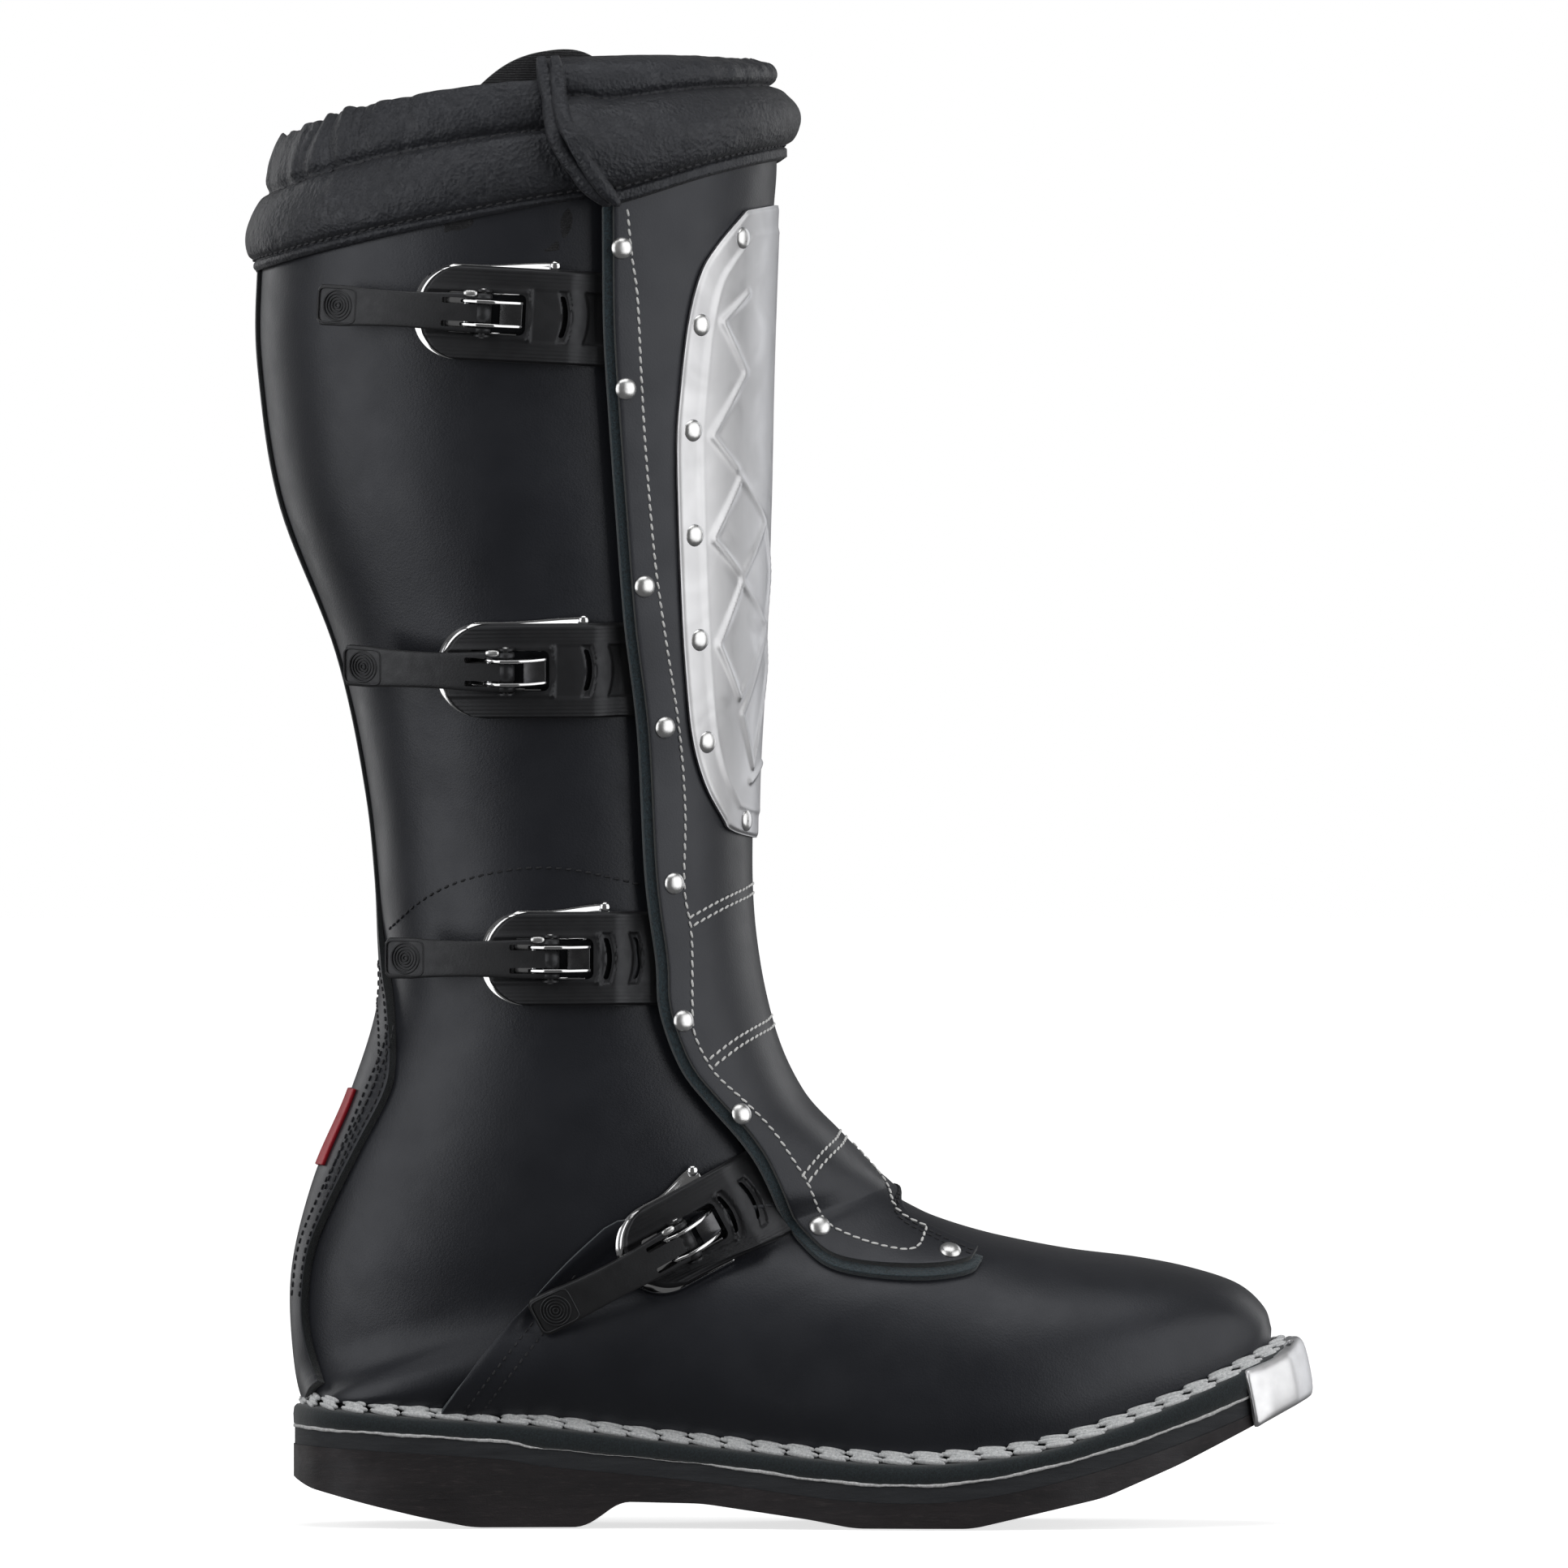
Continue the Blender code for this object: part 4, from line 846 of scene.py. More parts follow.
def line_profile(x):
    middle = float(welt_underside(x)) - 0.2 + 0.12 * math.sin(x * 0.31) + 0.08 * math.sin(x * 1.3)
    scuffed = 0.85 * smoothstep((x - 13.0) / 6.0) * smoothstep((71.0 - x) / 6.0)
    half = (0.42 + 0.1 * math.sin(x * 0.23 + 1.0)) * (1 - scuffed)
    return [(-0.12, middle - half), (-0.12, middle + half), (1.5, middle + half), (1.5, middle - half)]


def build_sole():
    joint = lambda x: welt_underside(x) - MIDSOLE
    sole_slab("outsole_body", 0.0, tread, lambda x: joint(x) - 0.05, "rubber", "outsole")
    sole_slab("midsole_layer", 0.35, joint, lambda x: welt_underside(x) - 0.3, "midsole", "midsole")
    closed_ring("welt_strip", ring_from(welt_profile), "welt", slot="suede", replaces=["welt"])
    closed_ring("welt_white_line", ring_from(line_profile), "white_line")
    braid()
    toe_guard()


def braid():
    """The waxed braid that joins upper and welt: two lobes in each stitch."""
    loop = loop_of(3.4)
    path = skewed(np.column_stack([loop, stitch_height(loop[:, 0]) + 0.6]))
    path = np.vstack([path, path[:1]])
    places, ways = even_path(path, 9.9)
    out = unit(np.column_stack([ways[:, 1], -ways[:, 0], np.zeros(len(ways))]))
    lean = out * 0.75 + np.array([0, 0, 0.66])
    lean -= (lean * ways).sum(axis=1, keepdims=True) * ways
    lean = unit(lean)
    up = np.cross(ways, lean)
    up *= np.where(up[:, 2:] < 0, -1, 1)
    centres, directions, outs, sizes = [], [], [], []
    for k in range(len(places) - 1):
        middle = (places[k] + places[k + 1]) / 2
        way, face, rise = ways[k], lean[k], up[k]
        for level, push, tilt in ((1.15, -0.7, -0.13), (-0.95, 0.9, -0.1)):
            turned = way + rise * (tilt + RNG.uniform(-0.04, 0.04)) * (1 if way[0] > 0 else -1)
            turned /= np.linalg.norm(turned)
            for strand in (-1, 1):
                centres.append(
                    middle + rise * (level + 0.48 * strand) + way * (push + 0.5 * strand) + face * 0.3
                )
                directions.append(turned)
                outs.append(face)
                sizes.append((RNG.uniform(4.5, 5.1), RNG.uniform(0.72, 0.86), RNG.uniform(1.0, 1.2)))
    beads("welt_braid", centres, directions, outs, sizes, "braid")


GUARD_REAR = 231.6
GUARD_CREASE = 243.6
GUARD_LEAN = 0.2
GUARD_TOP = [(226.0, 44.0), (231.6, 46.9), (243.6, 52.6), (248.0, 57.2)]
GUARD_FOOT = [(226.0, 26.5), (231.6, 29.6), (243.6, 35.8), (248.0, 38.2)]
GUARD_SLOTS = (0.16, 0.37, 0.5, 0.63, 0.84)


def toe_guard():
    """The steel guard: a flat cheek on each side, a crease and a shallow front, with lips over and under."""
    half = inset_outline(-0.5, 20)
    width = lambda x: float(np.interp(x, half[:, 0], half[:, 1]))
    front = float(half[-1, 0]) + 0.4
    wide = width(GUARD_CREASE) + 1.4
    cheek = [(x, -np.interp(x, [GUARD_REAR, GUARD_CREASE], [width(GUARD_REAR), wide]))
             for x in np.linspace(GUARD_REAR, GUARD_CREASE, 12)]
    nose = [(front - (front - GUARD_CREASE) * abs(s) ** 1.7, s * wide) for s in np.linspace(-1, 0, 14)]
    side = np.array(cheek + nose[1:])
    path = np.vstack([side, side[:-1][::-1] * (1, -1)])
    way = unit(np.gradient(path, axis=0))
    away = np.column_stack([way[:, 1], -way[:, 0]])
    top, foot = height_along(GUARD_TOP), height_along(GUARD_FOOT)
    sections, lip_places = [], []
    for number, (place, out) in enumerate(zip(path, away)):
        near_end = min(number, len(path) - 1 - number)
        flare = 0.4 + 0.6 * smoothstep(near_end / 4)
        high, low = float(top(place[0])), float(foot(place[0]))
        middle = (high + low) / 2
        profile = [
            (-3.4, high - 1.2), (-0.8, high - 1.0), (0.2, high - 1.7), (0.4, low + 1.8), (-0.4, low + 1.2),
            (-3.5, low + 0.7), (-3.5, low - 0.3), (-0.4, low), (1.1, low + 0.7), (2.1, low + 2.6),
            (2.5, middle - 1.5), (2.3, high - 3.0), (1.6, high - 1.0), (0.5, high - 0.1),
            (-0.8, high + 0.1), (-3.4, high - 0.1),
        ]
        lean = GUARD_LEAN * (high - 2.0)
        sections.append([
            (place[0] + out[0] * d * flare + lean - GUARD_LEAN * z, place[1] + out[1] * d * flare, z)
            for d, z in profile
        ])
        lip_places.append((place[0] - out[0] * 1.2, place[1] - out[1] * 1.2, high))
    guard = closed_loft(
        "toe_guard_plate", skewed(np.array(sections)), "guard", slot="steel", replaces=["toe_guard"]
    )
    smooth = guard.modifiers.new("smooth_steel", "SUBSURF")
    smooth.levels = smooth.render_levels = 1
    lip_places, ways = even_path(skewed(np.array(lip_places)), 0.5)
    for share in GUARD_SLOTS:
        k = int(share * (len(lip_places) - 1))
        along = Vector((ways[k][0], ways[k][1], 0)).normalized()
        out = Vector((0, 0, 1))
        turn = Matrix((along, out.cross(along), out)).transposed().to_4x4()
        here = Matrix.Translation(lip_places[k]) @ turn
        cut(guard, rounded_block((0.0, 0.0), (5.4, 1.5), 0.7, here, (-3.0, 2.0)))


# ---------------------------------------------------------------- upper
SHAFT_FRONT_U = 0.26
VAMP_CREST = 11.9


def vamp_seam_t():
    """The vamp's upper edge: t at each u, carried over the instep from side to side."""
    by_u = edge_by_u(smooth_line(VAMP_SEAM, 6))
    low = locate([VAMP_SEAM[0]])[1][0]

    def at(u):
        u = np.abs(u)
        lead = VAMP_CREST + (by_u(low) - VAMP_CREST) * smoothstep(u / low)
        return np.where(u < low, lead, by_u(u))

    return at


def around_back(top, foot, u, rows, mark):
    """Grids of both sides from top to foot, with one row at t = mark on the back line."""
    grids = []
    down = np.linspace(0, 1, rows)
    share = (mark - top(u)[-1]) / (foot(u)[-1] - top(u)[-1])
    down[int(np.argmin(np.abs(down - share)))] = share
    for side in (1, -1):
        t = top(u) + (foot(u) - top(u)) * down[:, None]
        grids.append((t, side * np.broadcast_to(u, t.shape)))
    return grids


def leather_level(base, seed, amount=0.22):
    """A leather level with the slight unevenness of lasted leather."""
    return lambda t, u: base + amount * value_noise(surface(t, u), 34.0, seed) + 0.25 * amount * value_noise(
        surface(t, u), 11.0, seed + 1
    )


def build_upper():
    collar = edge_by_u(smooth_line(REAR_COLLAR_FOOT, 6))
    seam = vamp_seam_t()
    columns = np.linspace(SHAFT_FRONT_U, 1.0, 46)
    grids = around_back(lambda u: collar(u) - 0.25, lambda u: seam(u) + 0.25, columns, 170, HEEL_CORNER)
    leather_sheet(
        "quarter_leather", grids, -LEATHER, leather_level(0.0, 3), slot="leather", replaces=["quarter"],
        bevel=0.4,
    )

    u = np.concatenate([-np.linspace(1.0, 0.17, 50), np.linspace(-0.15, 0.15, 9), np.linspace(0.17, 1.0, 50)])
    down = np.linspace(0, 1, 110)[:, None] ** 0.95
    start = seam(u) - 0.06
    t = start + (LAST_RING - 0.05 - start) * down
    u = np.broadcast_to(u, t.shape)
    level = leather_level(0.0, 5)
    lap = lambda t, u: 2.3 * smoothstep(1 - (t - seam(u) + 0.06) / 0.75)
    leather_sheet(
        "vamp_leather", [(t, u)], lambda t, u: lap(t, u) - LEATHER + 0.15 * (lap(t, u) > 2),
        lambda t, u: level(t, u) + lap(t, u), edge_look="suede", slot="leather", replaces=["vamp"],
        bevel=0.35,
    )
    vamp_paths = []
    for side in (1, -1):
        for across in (4.2, 8.6):
            line = shifted(VAMP_SEAM, across)
            vamp_paths.append(surface_path(line[4:], lambda t, u: 0.12 + lap(t, u), side))
    stitches("vamp_seam_stitches", vamp_paths, "black_thread", 2.7, 0.66, 0.7)

    arcs = [surface_path(ANKLE_ARC, 0.1, side) for side in (1, -1)]
    stitches("ankle_stitches", arcs, "black_thread", 3.0, 0.62, 0.75)


ANKLE_ARC = [
    (-29.8, 181.5), (-19.8, 190.2), (-7.4, 196.4), (9.9, 200.1), (24.8, 200.1), (39.7, 197.2), (47.1, 195.2),
]
STRIP_REAR_ROW = [
    (-31.5, 153.0), (-33.0, 146.0), (-38.0, 134.0), (-43.0, 122.0), (-48.0, 110.0), (-51.0, 102.0),
]
STRIP_PATCH = (2.7, 3.9)


def build_heel_strip():
    edge = edge_by_t(smooth_line(HEEL_STRIP_EDGE, 6))
    top, foot = locate([HEEL_STRIP_EDGE[0], HEEL_STRIP_EDGE[-1]])[0]
    down = np.concatenate([np.linspace(1.7, top, 60)[:-1], np.linspace(top, foot - 0.02, 90)])
    narrow = np.interp(down, [1.7, top - 0.7, top], [0.968, 0.968, edge(top)])
    start = np.where(down < top, narrow, edge(down))
    share = np.linspace(0, 1, 14)
    rise = lambda t: 1.1 + 1.75 * smoothstep((t - top + 0.8) / 1.2)
    level = lambda t, u: rise(t) + 0.12 * value_noise(surface(t, u), 20.0, 9)
    grids = []
    for side in (1, -1):
        u = start[:, None] * (1 - share) + share
        grids.append((np.broadcast_to(down[:, None], u.shape), side * u))
    leather_sheet(
        "heel_strip_leather", grids, 0.1, level, slot="leather", replaces=["heel_strip"], bevel=0.35
    )

    patch_rows = locate([(-39.0, 131.9), (-51.0, 109.6)])[0]
    rows = np.linspace(*patch_rows, 26)[:, None]
    across = np.linspace(0.93, 1, 9)
    grids = [(rows + 0 * across, side * (across + 0 * rows)) for side in (1, -1)]
    leather_sheet(
        "red_heel_patch", grids, *STRIP_PATCH, look="red", edge_look="red", slot="red",
        replaces=["heel_patch"], bevel=0.3,
    )
    thread_level = lambda t, u: level(t, u) + 0.1
    lines = [shifted(HEEL_STRIP_EDGE[:8], across) for across in (-3.2, -5.6)]
    lines += [np.array(STRIP_REAR_ROW) + (shift, 0) for shift in (1.6, 3.6)]
    paths = [surface_path(line, thread_level, side) for side in (1, -1) for line in lines]
    stitches("heel_strip_stitches", paths, "black_thread", 2.7, 0.66, 0.72)


def coons(top, foot, left, right):
    """The grid of t and u that fills the space between four edges."""
    rows, columns = len(left), len(top)
    a = np.linspace(0, 1, rows)[:, None, None]
    b = np.linspace(0, 1, columns)[None, :, None]
    across = (1 - a) * top[None] + a * foot[None] + (1 - b) * left[:, None] + b * right[:, None]
    corners = (1 - a) * ((1 - b) * top[0] + b * top[-1]) + a * ((1 - b) * foot[0] + b * foot[-1])
    grid = across - corners
    return grid[..., 0], grid[..., 1]


def resampled(points, count):
    """Points of a t, u polyline at even steps, counting a whole turn of u as six rings."""
    points = np.asarray(points, float)
    gaps = np.hypot(np.diff(points[:, 0]), 6 * np.diff(points[:, 1]))
    along = np.concatenate([[0], np.cumsum(gaps)])
    at = np.linspace(0, along[-1], count)
    return np.column_stack([np.interp(at, along, points[:, k]) for k in (0, 1)])


def flap_grid(rows, columns, drawn=0.0):
    """The flap's t and u, drawn back from its free edge by a distance."""
    collar = edge_by_u(FRONT_COLLAR_FOOT)
    left = np.column_stack(locate(shifted(smooth_line(FLAP_EDGE, 6), drawn)))
    across = np.linspace(left[0, 1], FLAP_INNER_U, 40)
    top = np.column_stack([collar(across) - UNDER_COLLAR, across])
    left = left[left[:, 0] > top[0, 0] + 0.02]
    left = np.vstack([top[:1], left])
    right = np.array([top[-1], (TIP_INSIDE, FLAP_INNER_U)])
    foot = smooth_line([left[-1], (TIP_ON_CREST - drawn / 22.0, 0.0), right[-1]], 12)
    return coons(
        resampled(top, columns), resampled(foot, columns), resampled(left, rows), resampled(right, rows)
    )


FLAP_STITCH = [
    (43.4, 400.3), (44.6, 386.6), (46.4, 373.5), (47.6, 348.9), (48.9, 326.6), (51.6, 294.4), (54.6, 272.1),
    (59.0, 242.3), (60.8, 217.5), (60.5, 194.2), (62.7, 180.5), (63.0, 157.5), (63.7, 149.8), (69.4, 138.6),
    (78.9, 129.5), (87.3, 120.8), (93.2, 112.3), (98.5, 103.7), (101.9, 95.2), (106.1, 91.0), (118.0, 86.3),
    (130.4, 84.6), (134.4, 91.3),
]
STITCH_ON_CREST = 10.3
UNDER_COLLAR = 0.22
FLAP_SKIVE = 1.6
CROSS_ROWS = [
    [(63.0, 182.8), (72.0, 187.8), (80.0, 191.6)], [(69.4, 140.1), (78.0, 146.5), (87.0, 151.5)],
    [(98.0, 104.7), (103.7, 111.4), (108.6, 116.0)],
]


def flap_skive(t, u):
    """How much thinner the flap is pared where its tip's inner edge lies on the vamp."""
    return FLAP_SKIVE * smoothstep((0.14 - u) / 0.3) * smoothstep((t - 10.4) / 1.2)


def on_flap(level):
    """A level of the flap as a function of t and u. Only its leather, above 2 mm, is pared."""
    pared = 1.0 if level > 2 else 0.0
    return lambda t, u: level + flap_raise(t, u) - pared * flap_skive(t, u)


def build_flap():
    grid = flap_grid(300, 120)
    leather_sheet(
        "flap_suede_backing", [grid], on_flap(FLAP_BACKING_LEVEL[0]), on_flap(FLAP_BACKING_LEVEL[1]),
        look="suede", edge_look="suede", slot="suede", replaces=["flap_backing"], bevel=0.5,
    )
    t, u = flap_grid(300, 120, 2.4)
    under, over = FLAP_LEATHER_LEVEL
    noise = leather_level(over, 13, 0.16)
    level = lambda t, u: noise(t, u) + on_flap(over)(t, u) - over
    leather_sheet(
        "flap_leather", [(t, u)], on_flap(under), level, slot="leather", replaces=["flap"], bevel=0.45
    )
    top = on_flap(FLAP_TOP)
    turn = np.concatenate(locate_on([FLAP_STITCH[-1]], top))
    crest = np.linspace(0, 1, 40)
    crest_t, crest_u = turn[0] + (STITCH_ON_CREST - turn[0]) * crest, turn[1] * (1 - crest)
    white = [surface_path(FLAP_STITCH, top), inner_flap_stitch(top), on_level(crest_t, crest_u, top)]
    for row in CROSS_ROWS:
        for across in (0.0, 2.6):
            line = shifted(row, across)
            for side in (1, -1):
                white.append(surface_path(line[::2], top, side))
            row_t, row_u = locate_on(line[[len(line) // 2, -1]], top)
            slope = (row_t[1] - row_t[0]) / (row_u[1] - row_u[0])
            over_u = np.linspace(row_u[1], -row_u[1], 40)
            over_t = row_t[1] + slope * (over_u**2 - row_u[1] ** 2) / (2 * row_u[1])
            white.append(on_level(over_t, over_u, top))
    tip = grid[1][-1] > -0.05
    black = [on_level(t[row][tip], u[row][tip], top) for row in (-4, -6)]
    stitches("flap_white_stitches", white, "white_thread", 3.0, 0.78, 0.8, 0.16)
    stitches("flap_tip_stitches", black, "black_thread", 2.8, 0.7, 0.75)


def inner_flap_stitch(top):
    t = np.linspace(1.9, 11.2, 80)
    return on_level(t, np.full(t.shape, FLAP_INNER_U + 0.05), top)


def lathe(profile, sides=28):
    """Points and faces of a turned shape from rows of radius and height. The first row is on the axis."""
    points = [(0, 0, profile[0][1])]
    for radius, height in profile[1:]:
        points += [(radius * math.cos(a), radius * math.sin(a), height) for a in turns_of(sides)]
    faces = [[0, 1 + i, 1 + (i + 1) % sides] for i in range(sides)]
    faces += [face[::-1] for face in band_faces(len(profile) - 1, sides, start=1)]
    last = 1 + (len(profile) - 2) * sides
    faces.append(list(range(last, last + sides))[::-1])
    return np.array(points), faces


DOME = [
    (0, 2.05), (0.9, 2.0), (1.8, 1.78), (2.5, 1.38), (3.0, 0.9), (3.3, 0.4), (3.4, 0.05), (3.3, -0.15),
    (3.1, -0.4),
]


def standing(t, u):
    """Axes for a small round part that stands on the leather, as rows."""
    out = normal(t, u)
    along = unit(np.cross(out, (0.0, 0.0, 1.0)))
    return np.stack([along, np.cross(out, along), out])


def rivet_heads(name, places, base, nodes, sides=(1,), flatness=1.0):
    """Domed rivet heads standing on a layer, turned to the surface, in one piece."""
    shape, faces = lathe(DOME)
    shape = shape * (1, 1, flatness)
    points, all_faces = [], []
    t, u = locate_on(places, base)
    for side in sides:
        for ti, ui in zip(t, u * side):
            start = len(points) * len(shape)
            points.append(offset(ti, ui, base(ti, ui)) + shape @ standing(ti, ui))
            all_faces += [[start + i for i in face] for face in faces]
    piece(name, np.vstack(points), all_faces, "rivet", slot="steel", replaces=nodes)


ZIGZAGS = [
    [(79.6, 375.2), (71.9, 366.3), (78.9, 350.9), (68.7, 331.6), (76.4, 321.4)],
    [(77.4, 318.9), (68.9, 300.3), (77.6, 289.4), (84.6, 306.0), (77.4, 318.9)],
    [(84.6, 306.0), (77.6, 288.0), (84.6, 274.0), (87.6, 290.0), (84.6, 306.0)],
    [(77.6, 286.9), (70.7, 268.3), (76.9, 252.2), (84.6, 274.0), (77.6, 286.9)],
    [(84.6, 272.0), (77.6, 247.3), (80.8, 231.1), (86.2, 262.0), (84.6, 272.0)],
    [(80.1, 226.7), (84.0, 232.4)],
]


def near_segments(points, lines):
    """Distance from each point to the nearest of several 3-D polylines."""
    flat = points.reshape(-1, 3)
    best = np.full(len(flat), 1e9)
    for line in lines:
        for a, b in zip(line[:-1], line[1:]):
            way = b - a
            share = np.clip(((flat - a) @ way) / (way @ way), 0, 1)
            best = np.minimum(best, np.linalg.norm(flat - a - share[:, None] * way, axis=1))
    return best.reshape(points.shape[:-1])


PLATE_BORDER = 7.2
PLATE_SHEET = 1.0


def on_plate(t, u):
    return PLATE_LEVEL + flap_raise(t, np.abs(u))


def build_plate():
    edge_t, edge_u = locate_on(smooth_line(PLATE_EDGE, 6), on_plate)
    ends = (edge_t[0] - 0.05, edge_t[-1] + 0.11)
    rows = ends[0] + (ends[1] - ends[0]) * (0.5 - 0.5 * np.cos(np.linspace(0, math.pi, 330)))
    half = np.interp(rows, np.concatenate([ends[:1], edge_t]), np.concatenate([[0.04], edge_u]))
    past = np.clip((rows - edge_t[-1]) / (ends[1] - edge_t[-1]), 0, 1)
    half = half * np.sqrt(np.maximum(1 - past**2, 0.02))
    share = np.sin(np.linspace(1, -1, 170) * math.pi / 2)
    u = half[:, None] * share
    t = np.broadcast_to(rows[:, None], u.shape)
    points = surface(t, u)
    rim = np.concatenate([points[:, 0], points[::-1, -1], points[:1, 0]])
    to_rim = near_segments(points, [rim[::3]])
    lines = []
    for line in ZIGZAGS:
        lt, lu = locate_on(np.array(line), on_plate)
        for side in (1, -1):
            lines.append(surface(lt, lu * side))
    to_ridge = near_segments(points, lines)
    panel = smoothstep((to_rim - PLATE_BORDER) / 1.4)
    step = np.exp(-(((to_rim - PLATE_BORDER - 0.4) / 0.8) ** 2))
    ridge = np.exp(-((to_ridge / 1.05) ** 2)) * smoothstep((to_rim - PLATE_BORDER) / 2.0)
    edge_roll = 0.5 * np.exp(-((to_rim / 0.9) ** 2))
    high = on_plate(t, u) - edge_roll + 0.2 * step + 0.4 * panel + 0.75 * ridge
    sheet = [(offset(t, u, high), offset(t, u, high - PLATE_SHEET))]
    thick_grids("shin_plate_steel", sheet, "steel", slot="steel", replaces=["shin_plate"], bevel=0.25)
    rivet_heads(
        "plate_rivet_heads", PLATE_RIVETS, on_plate, [f"plate_rivet_{k}" for k in range(1, 8)], (1, -1), 0.62
    )


# ---------------------------------------------------------------- collars and gusset
def arc_along(t, u):
    """Length along each column direction of a grid, measured on the surface, in millimetres."""
    points = surface(t, u)
    steps = np.linalg.norm(np.diff(points, axis=1), axis=2)
    return np.concatenate([np.zeros((len(points), 1)), np.cumsum(steps, axis=1)], axis=1)


def gathers(along, down, cell, seed):
    """Puffy folds across an elastic: rounded ridges with sharp creases between them, from 0 to 1."""
    along, down = np.broadcast_arrays(along, down)
    flow = np.stack([along / 26.0, down / 30.0, np.zeros_like(along)], axis=-1)
    bend = value_noise(flow, 1.0, seed) * 7.0 + value_noise(flow * 2.7, 1.0, seed + 1) * 2.4
    fold = np.abs(np.sin(math.pi * (along + bend) / cell)) ** 0.7
    fine = np.abs(np.sin(math.pi * (along + bend * 0.6) / (cell * 0.47) + 0.7)) ** 0.8
    patches = np.stack([along / 17.0, down / 22.0, 0 * along], axis=-1)
    swell = 0.65 + 0.35 * value_noise(patches, 1.0, seed + 2)
    return (0.75 * fold + 0.25 * fine) * swell


def creases(points, cell, amount, seed, stretch=(1.0, 1.0, 0.4)):
    """Small irregular leather creases."""
    at = points * stretch
    noise = value_noise(at, cell, seed) + 0.5 * value_noise(at, cell * 0.45, seed + 1)
    return -amount * (1 - np.abs(noise)) ** 3


def seam_dip(distance, depth, width=1.5):
    return -depth * np.exp(-((distance / width) ** 2))


REAR_COLLAR_DEPTH = 43.0
REAR_COLLAR_SEAMS = (5.2, 29.5)


def build_rear_collar():
    foot = edge_by_u(smooth_line(REAR_COLLAR_FOOT, 6))
    top = edge_by_u(smooth_line(REAR_COLLAR_TOP, 6))
    first = locate([(31.0, 420.0)])[1][0]
    half = np.linspace(first, 1.0, 170)
    u = np.concatenate([half, -half[::-1][1:]])
    side_u = np.abs(u)
    outside = np.linspace(0, 1, 64)
    inside = np.linspace(0, 1, 20)[1:]
    t_out = foot(side_u)[None] + (top(side_u) - foot(side_u))[None] * outside[:, None]
    t_in = top(side_u)[None] + 1.25 * inside[:, None] + 0 * t_out[:1]
    wide = np.broadcast_to(u, t_out.shape)
    along = arc_along(t_out[:1], wide[:1])
    along = np.broadcast_to(np.abs(along - along[0, -1] / 2), t_out.shape)
    down = (1 - outside)[:, None] * REAR_COLLAR_DEPTH
    up = REAR_COLLAR_DEPTH - down
    rear = smoothstep((side_u - 0.56) / 0.18)[None]
    points = surface(t_out, wide)
    body = 4.6 * np.sin(math.pi * np.clip((up - 5.0) / 24.5, 0, 1)) ** 0.6
    tunnel = 2.6 * np.sin(math.pi * np.clip((up - 29.5) / 15.0, 0, 1)) ** 0.6
    level = 1.3 + 1.0 * smoothstep(up / 2.0) + np.where(up < 29.5, body * 0.72, tunnel)
    level = level + seam_dip(up - 5.2, 0.8, 1.0) + seam_dip(up - 29.5, 1.0, 1.3)
    fold = gathers(along, down, 12.0, 21)
    near_top = smoothstep((up - 23.0) / 9.0)
    level = level + (fold - 0.55) * (0.15 + 1.9 * rear) * near_top
    level = level + 0.45 * value_noise(points * (1, 1, 1.6), 18.0, 31) * smoothstep(up / 8.0)
    level = level + creases(points, 4.0, 0.22, 41) * smoothstep((up - 3.0) / 6.0)
    outer = offset(t_out, wide, level)
    crown = (fold - 0.5) * (0.25 + 1.9 * rear) * smoothstep((up - 34.0) / 9.0)
    outer[..., 2] += crown - 0.8
    wide_in = np.broadcast_to(u, t_in.shape)
    drop = inside[:, None]
    last = outer[-1:]
    ease = smoothstep(drop * 2.2)[..., None]
    arch = np.sin(math.pi * np.clip(drop * 2.2, 0, 1))[..., None] * np.array([0, 0, 0.9])
    inner_path = last * (1 - ease) + offset(t_in, wide_in, -7.0 - 0.8 * fold[-1:] * (1 - drop)) * ease + arch
    back = np.linspace(0, 1, 4)[1:-1, None]
    close_t = back * (foot(side_u) - t_in[-1])[None] + t_in[-1:]
    close = offset(close_t, wide_in[:2], 0 * wide_in[:2] - 1.2)
    sections = np.concatenate([outer, inner_path, close], axis=0).transpose(1, 0, 2)
    collar = closed_loft(
        "rear_collar_padded", sections, "soft_leather", slot="soft_leather", replaces=["rear_collar"]
    )
    rows = []
    for height in REAR_COLLAR_SEAMS:
        k = int(np.argmin(np.abs((REAR_COLLAR_DEPTH - down[:, 0]) - height)))
        rows.append((outer[k], normal(t_out[k], wide[k])))
    # The collar thread's lighter grey is a painted glint on black thread.
    stitches("rear_collar_stitches", rows, "collar_thread", 3.1, 0.68, 0.95)


FRONT_COLLAR_DEPTH = 36.0
FRONT_COLLAR_SEAMS = (8.0, 30.6)


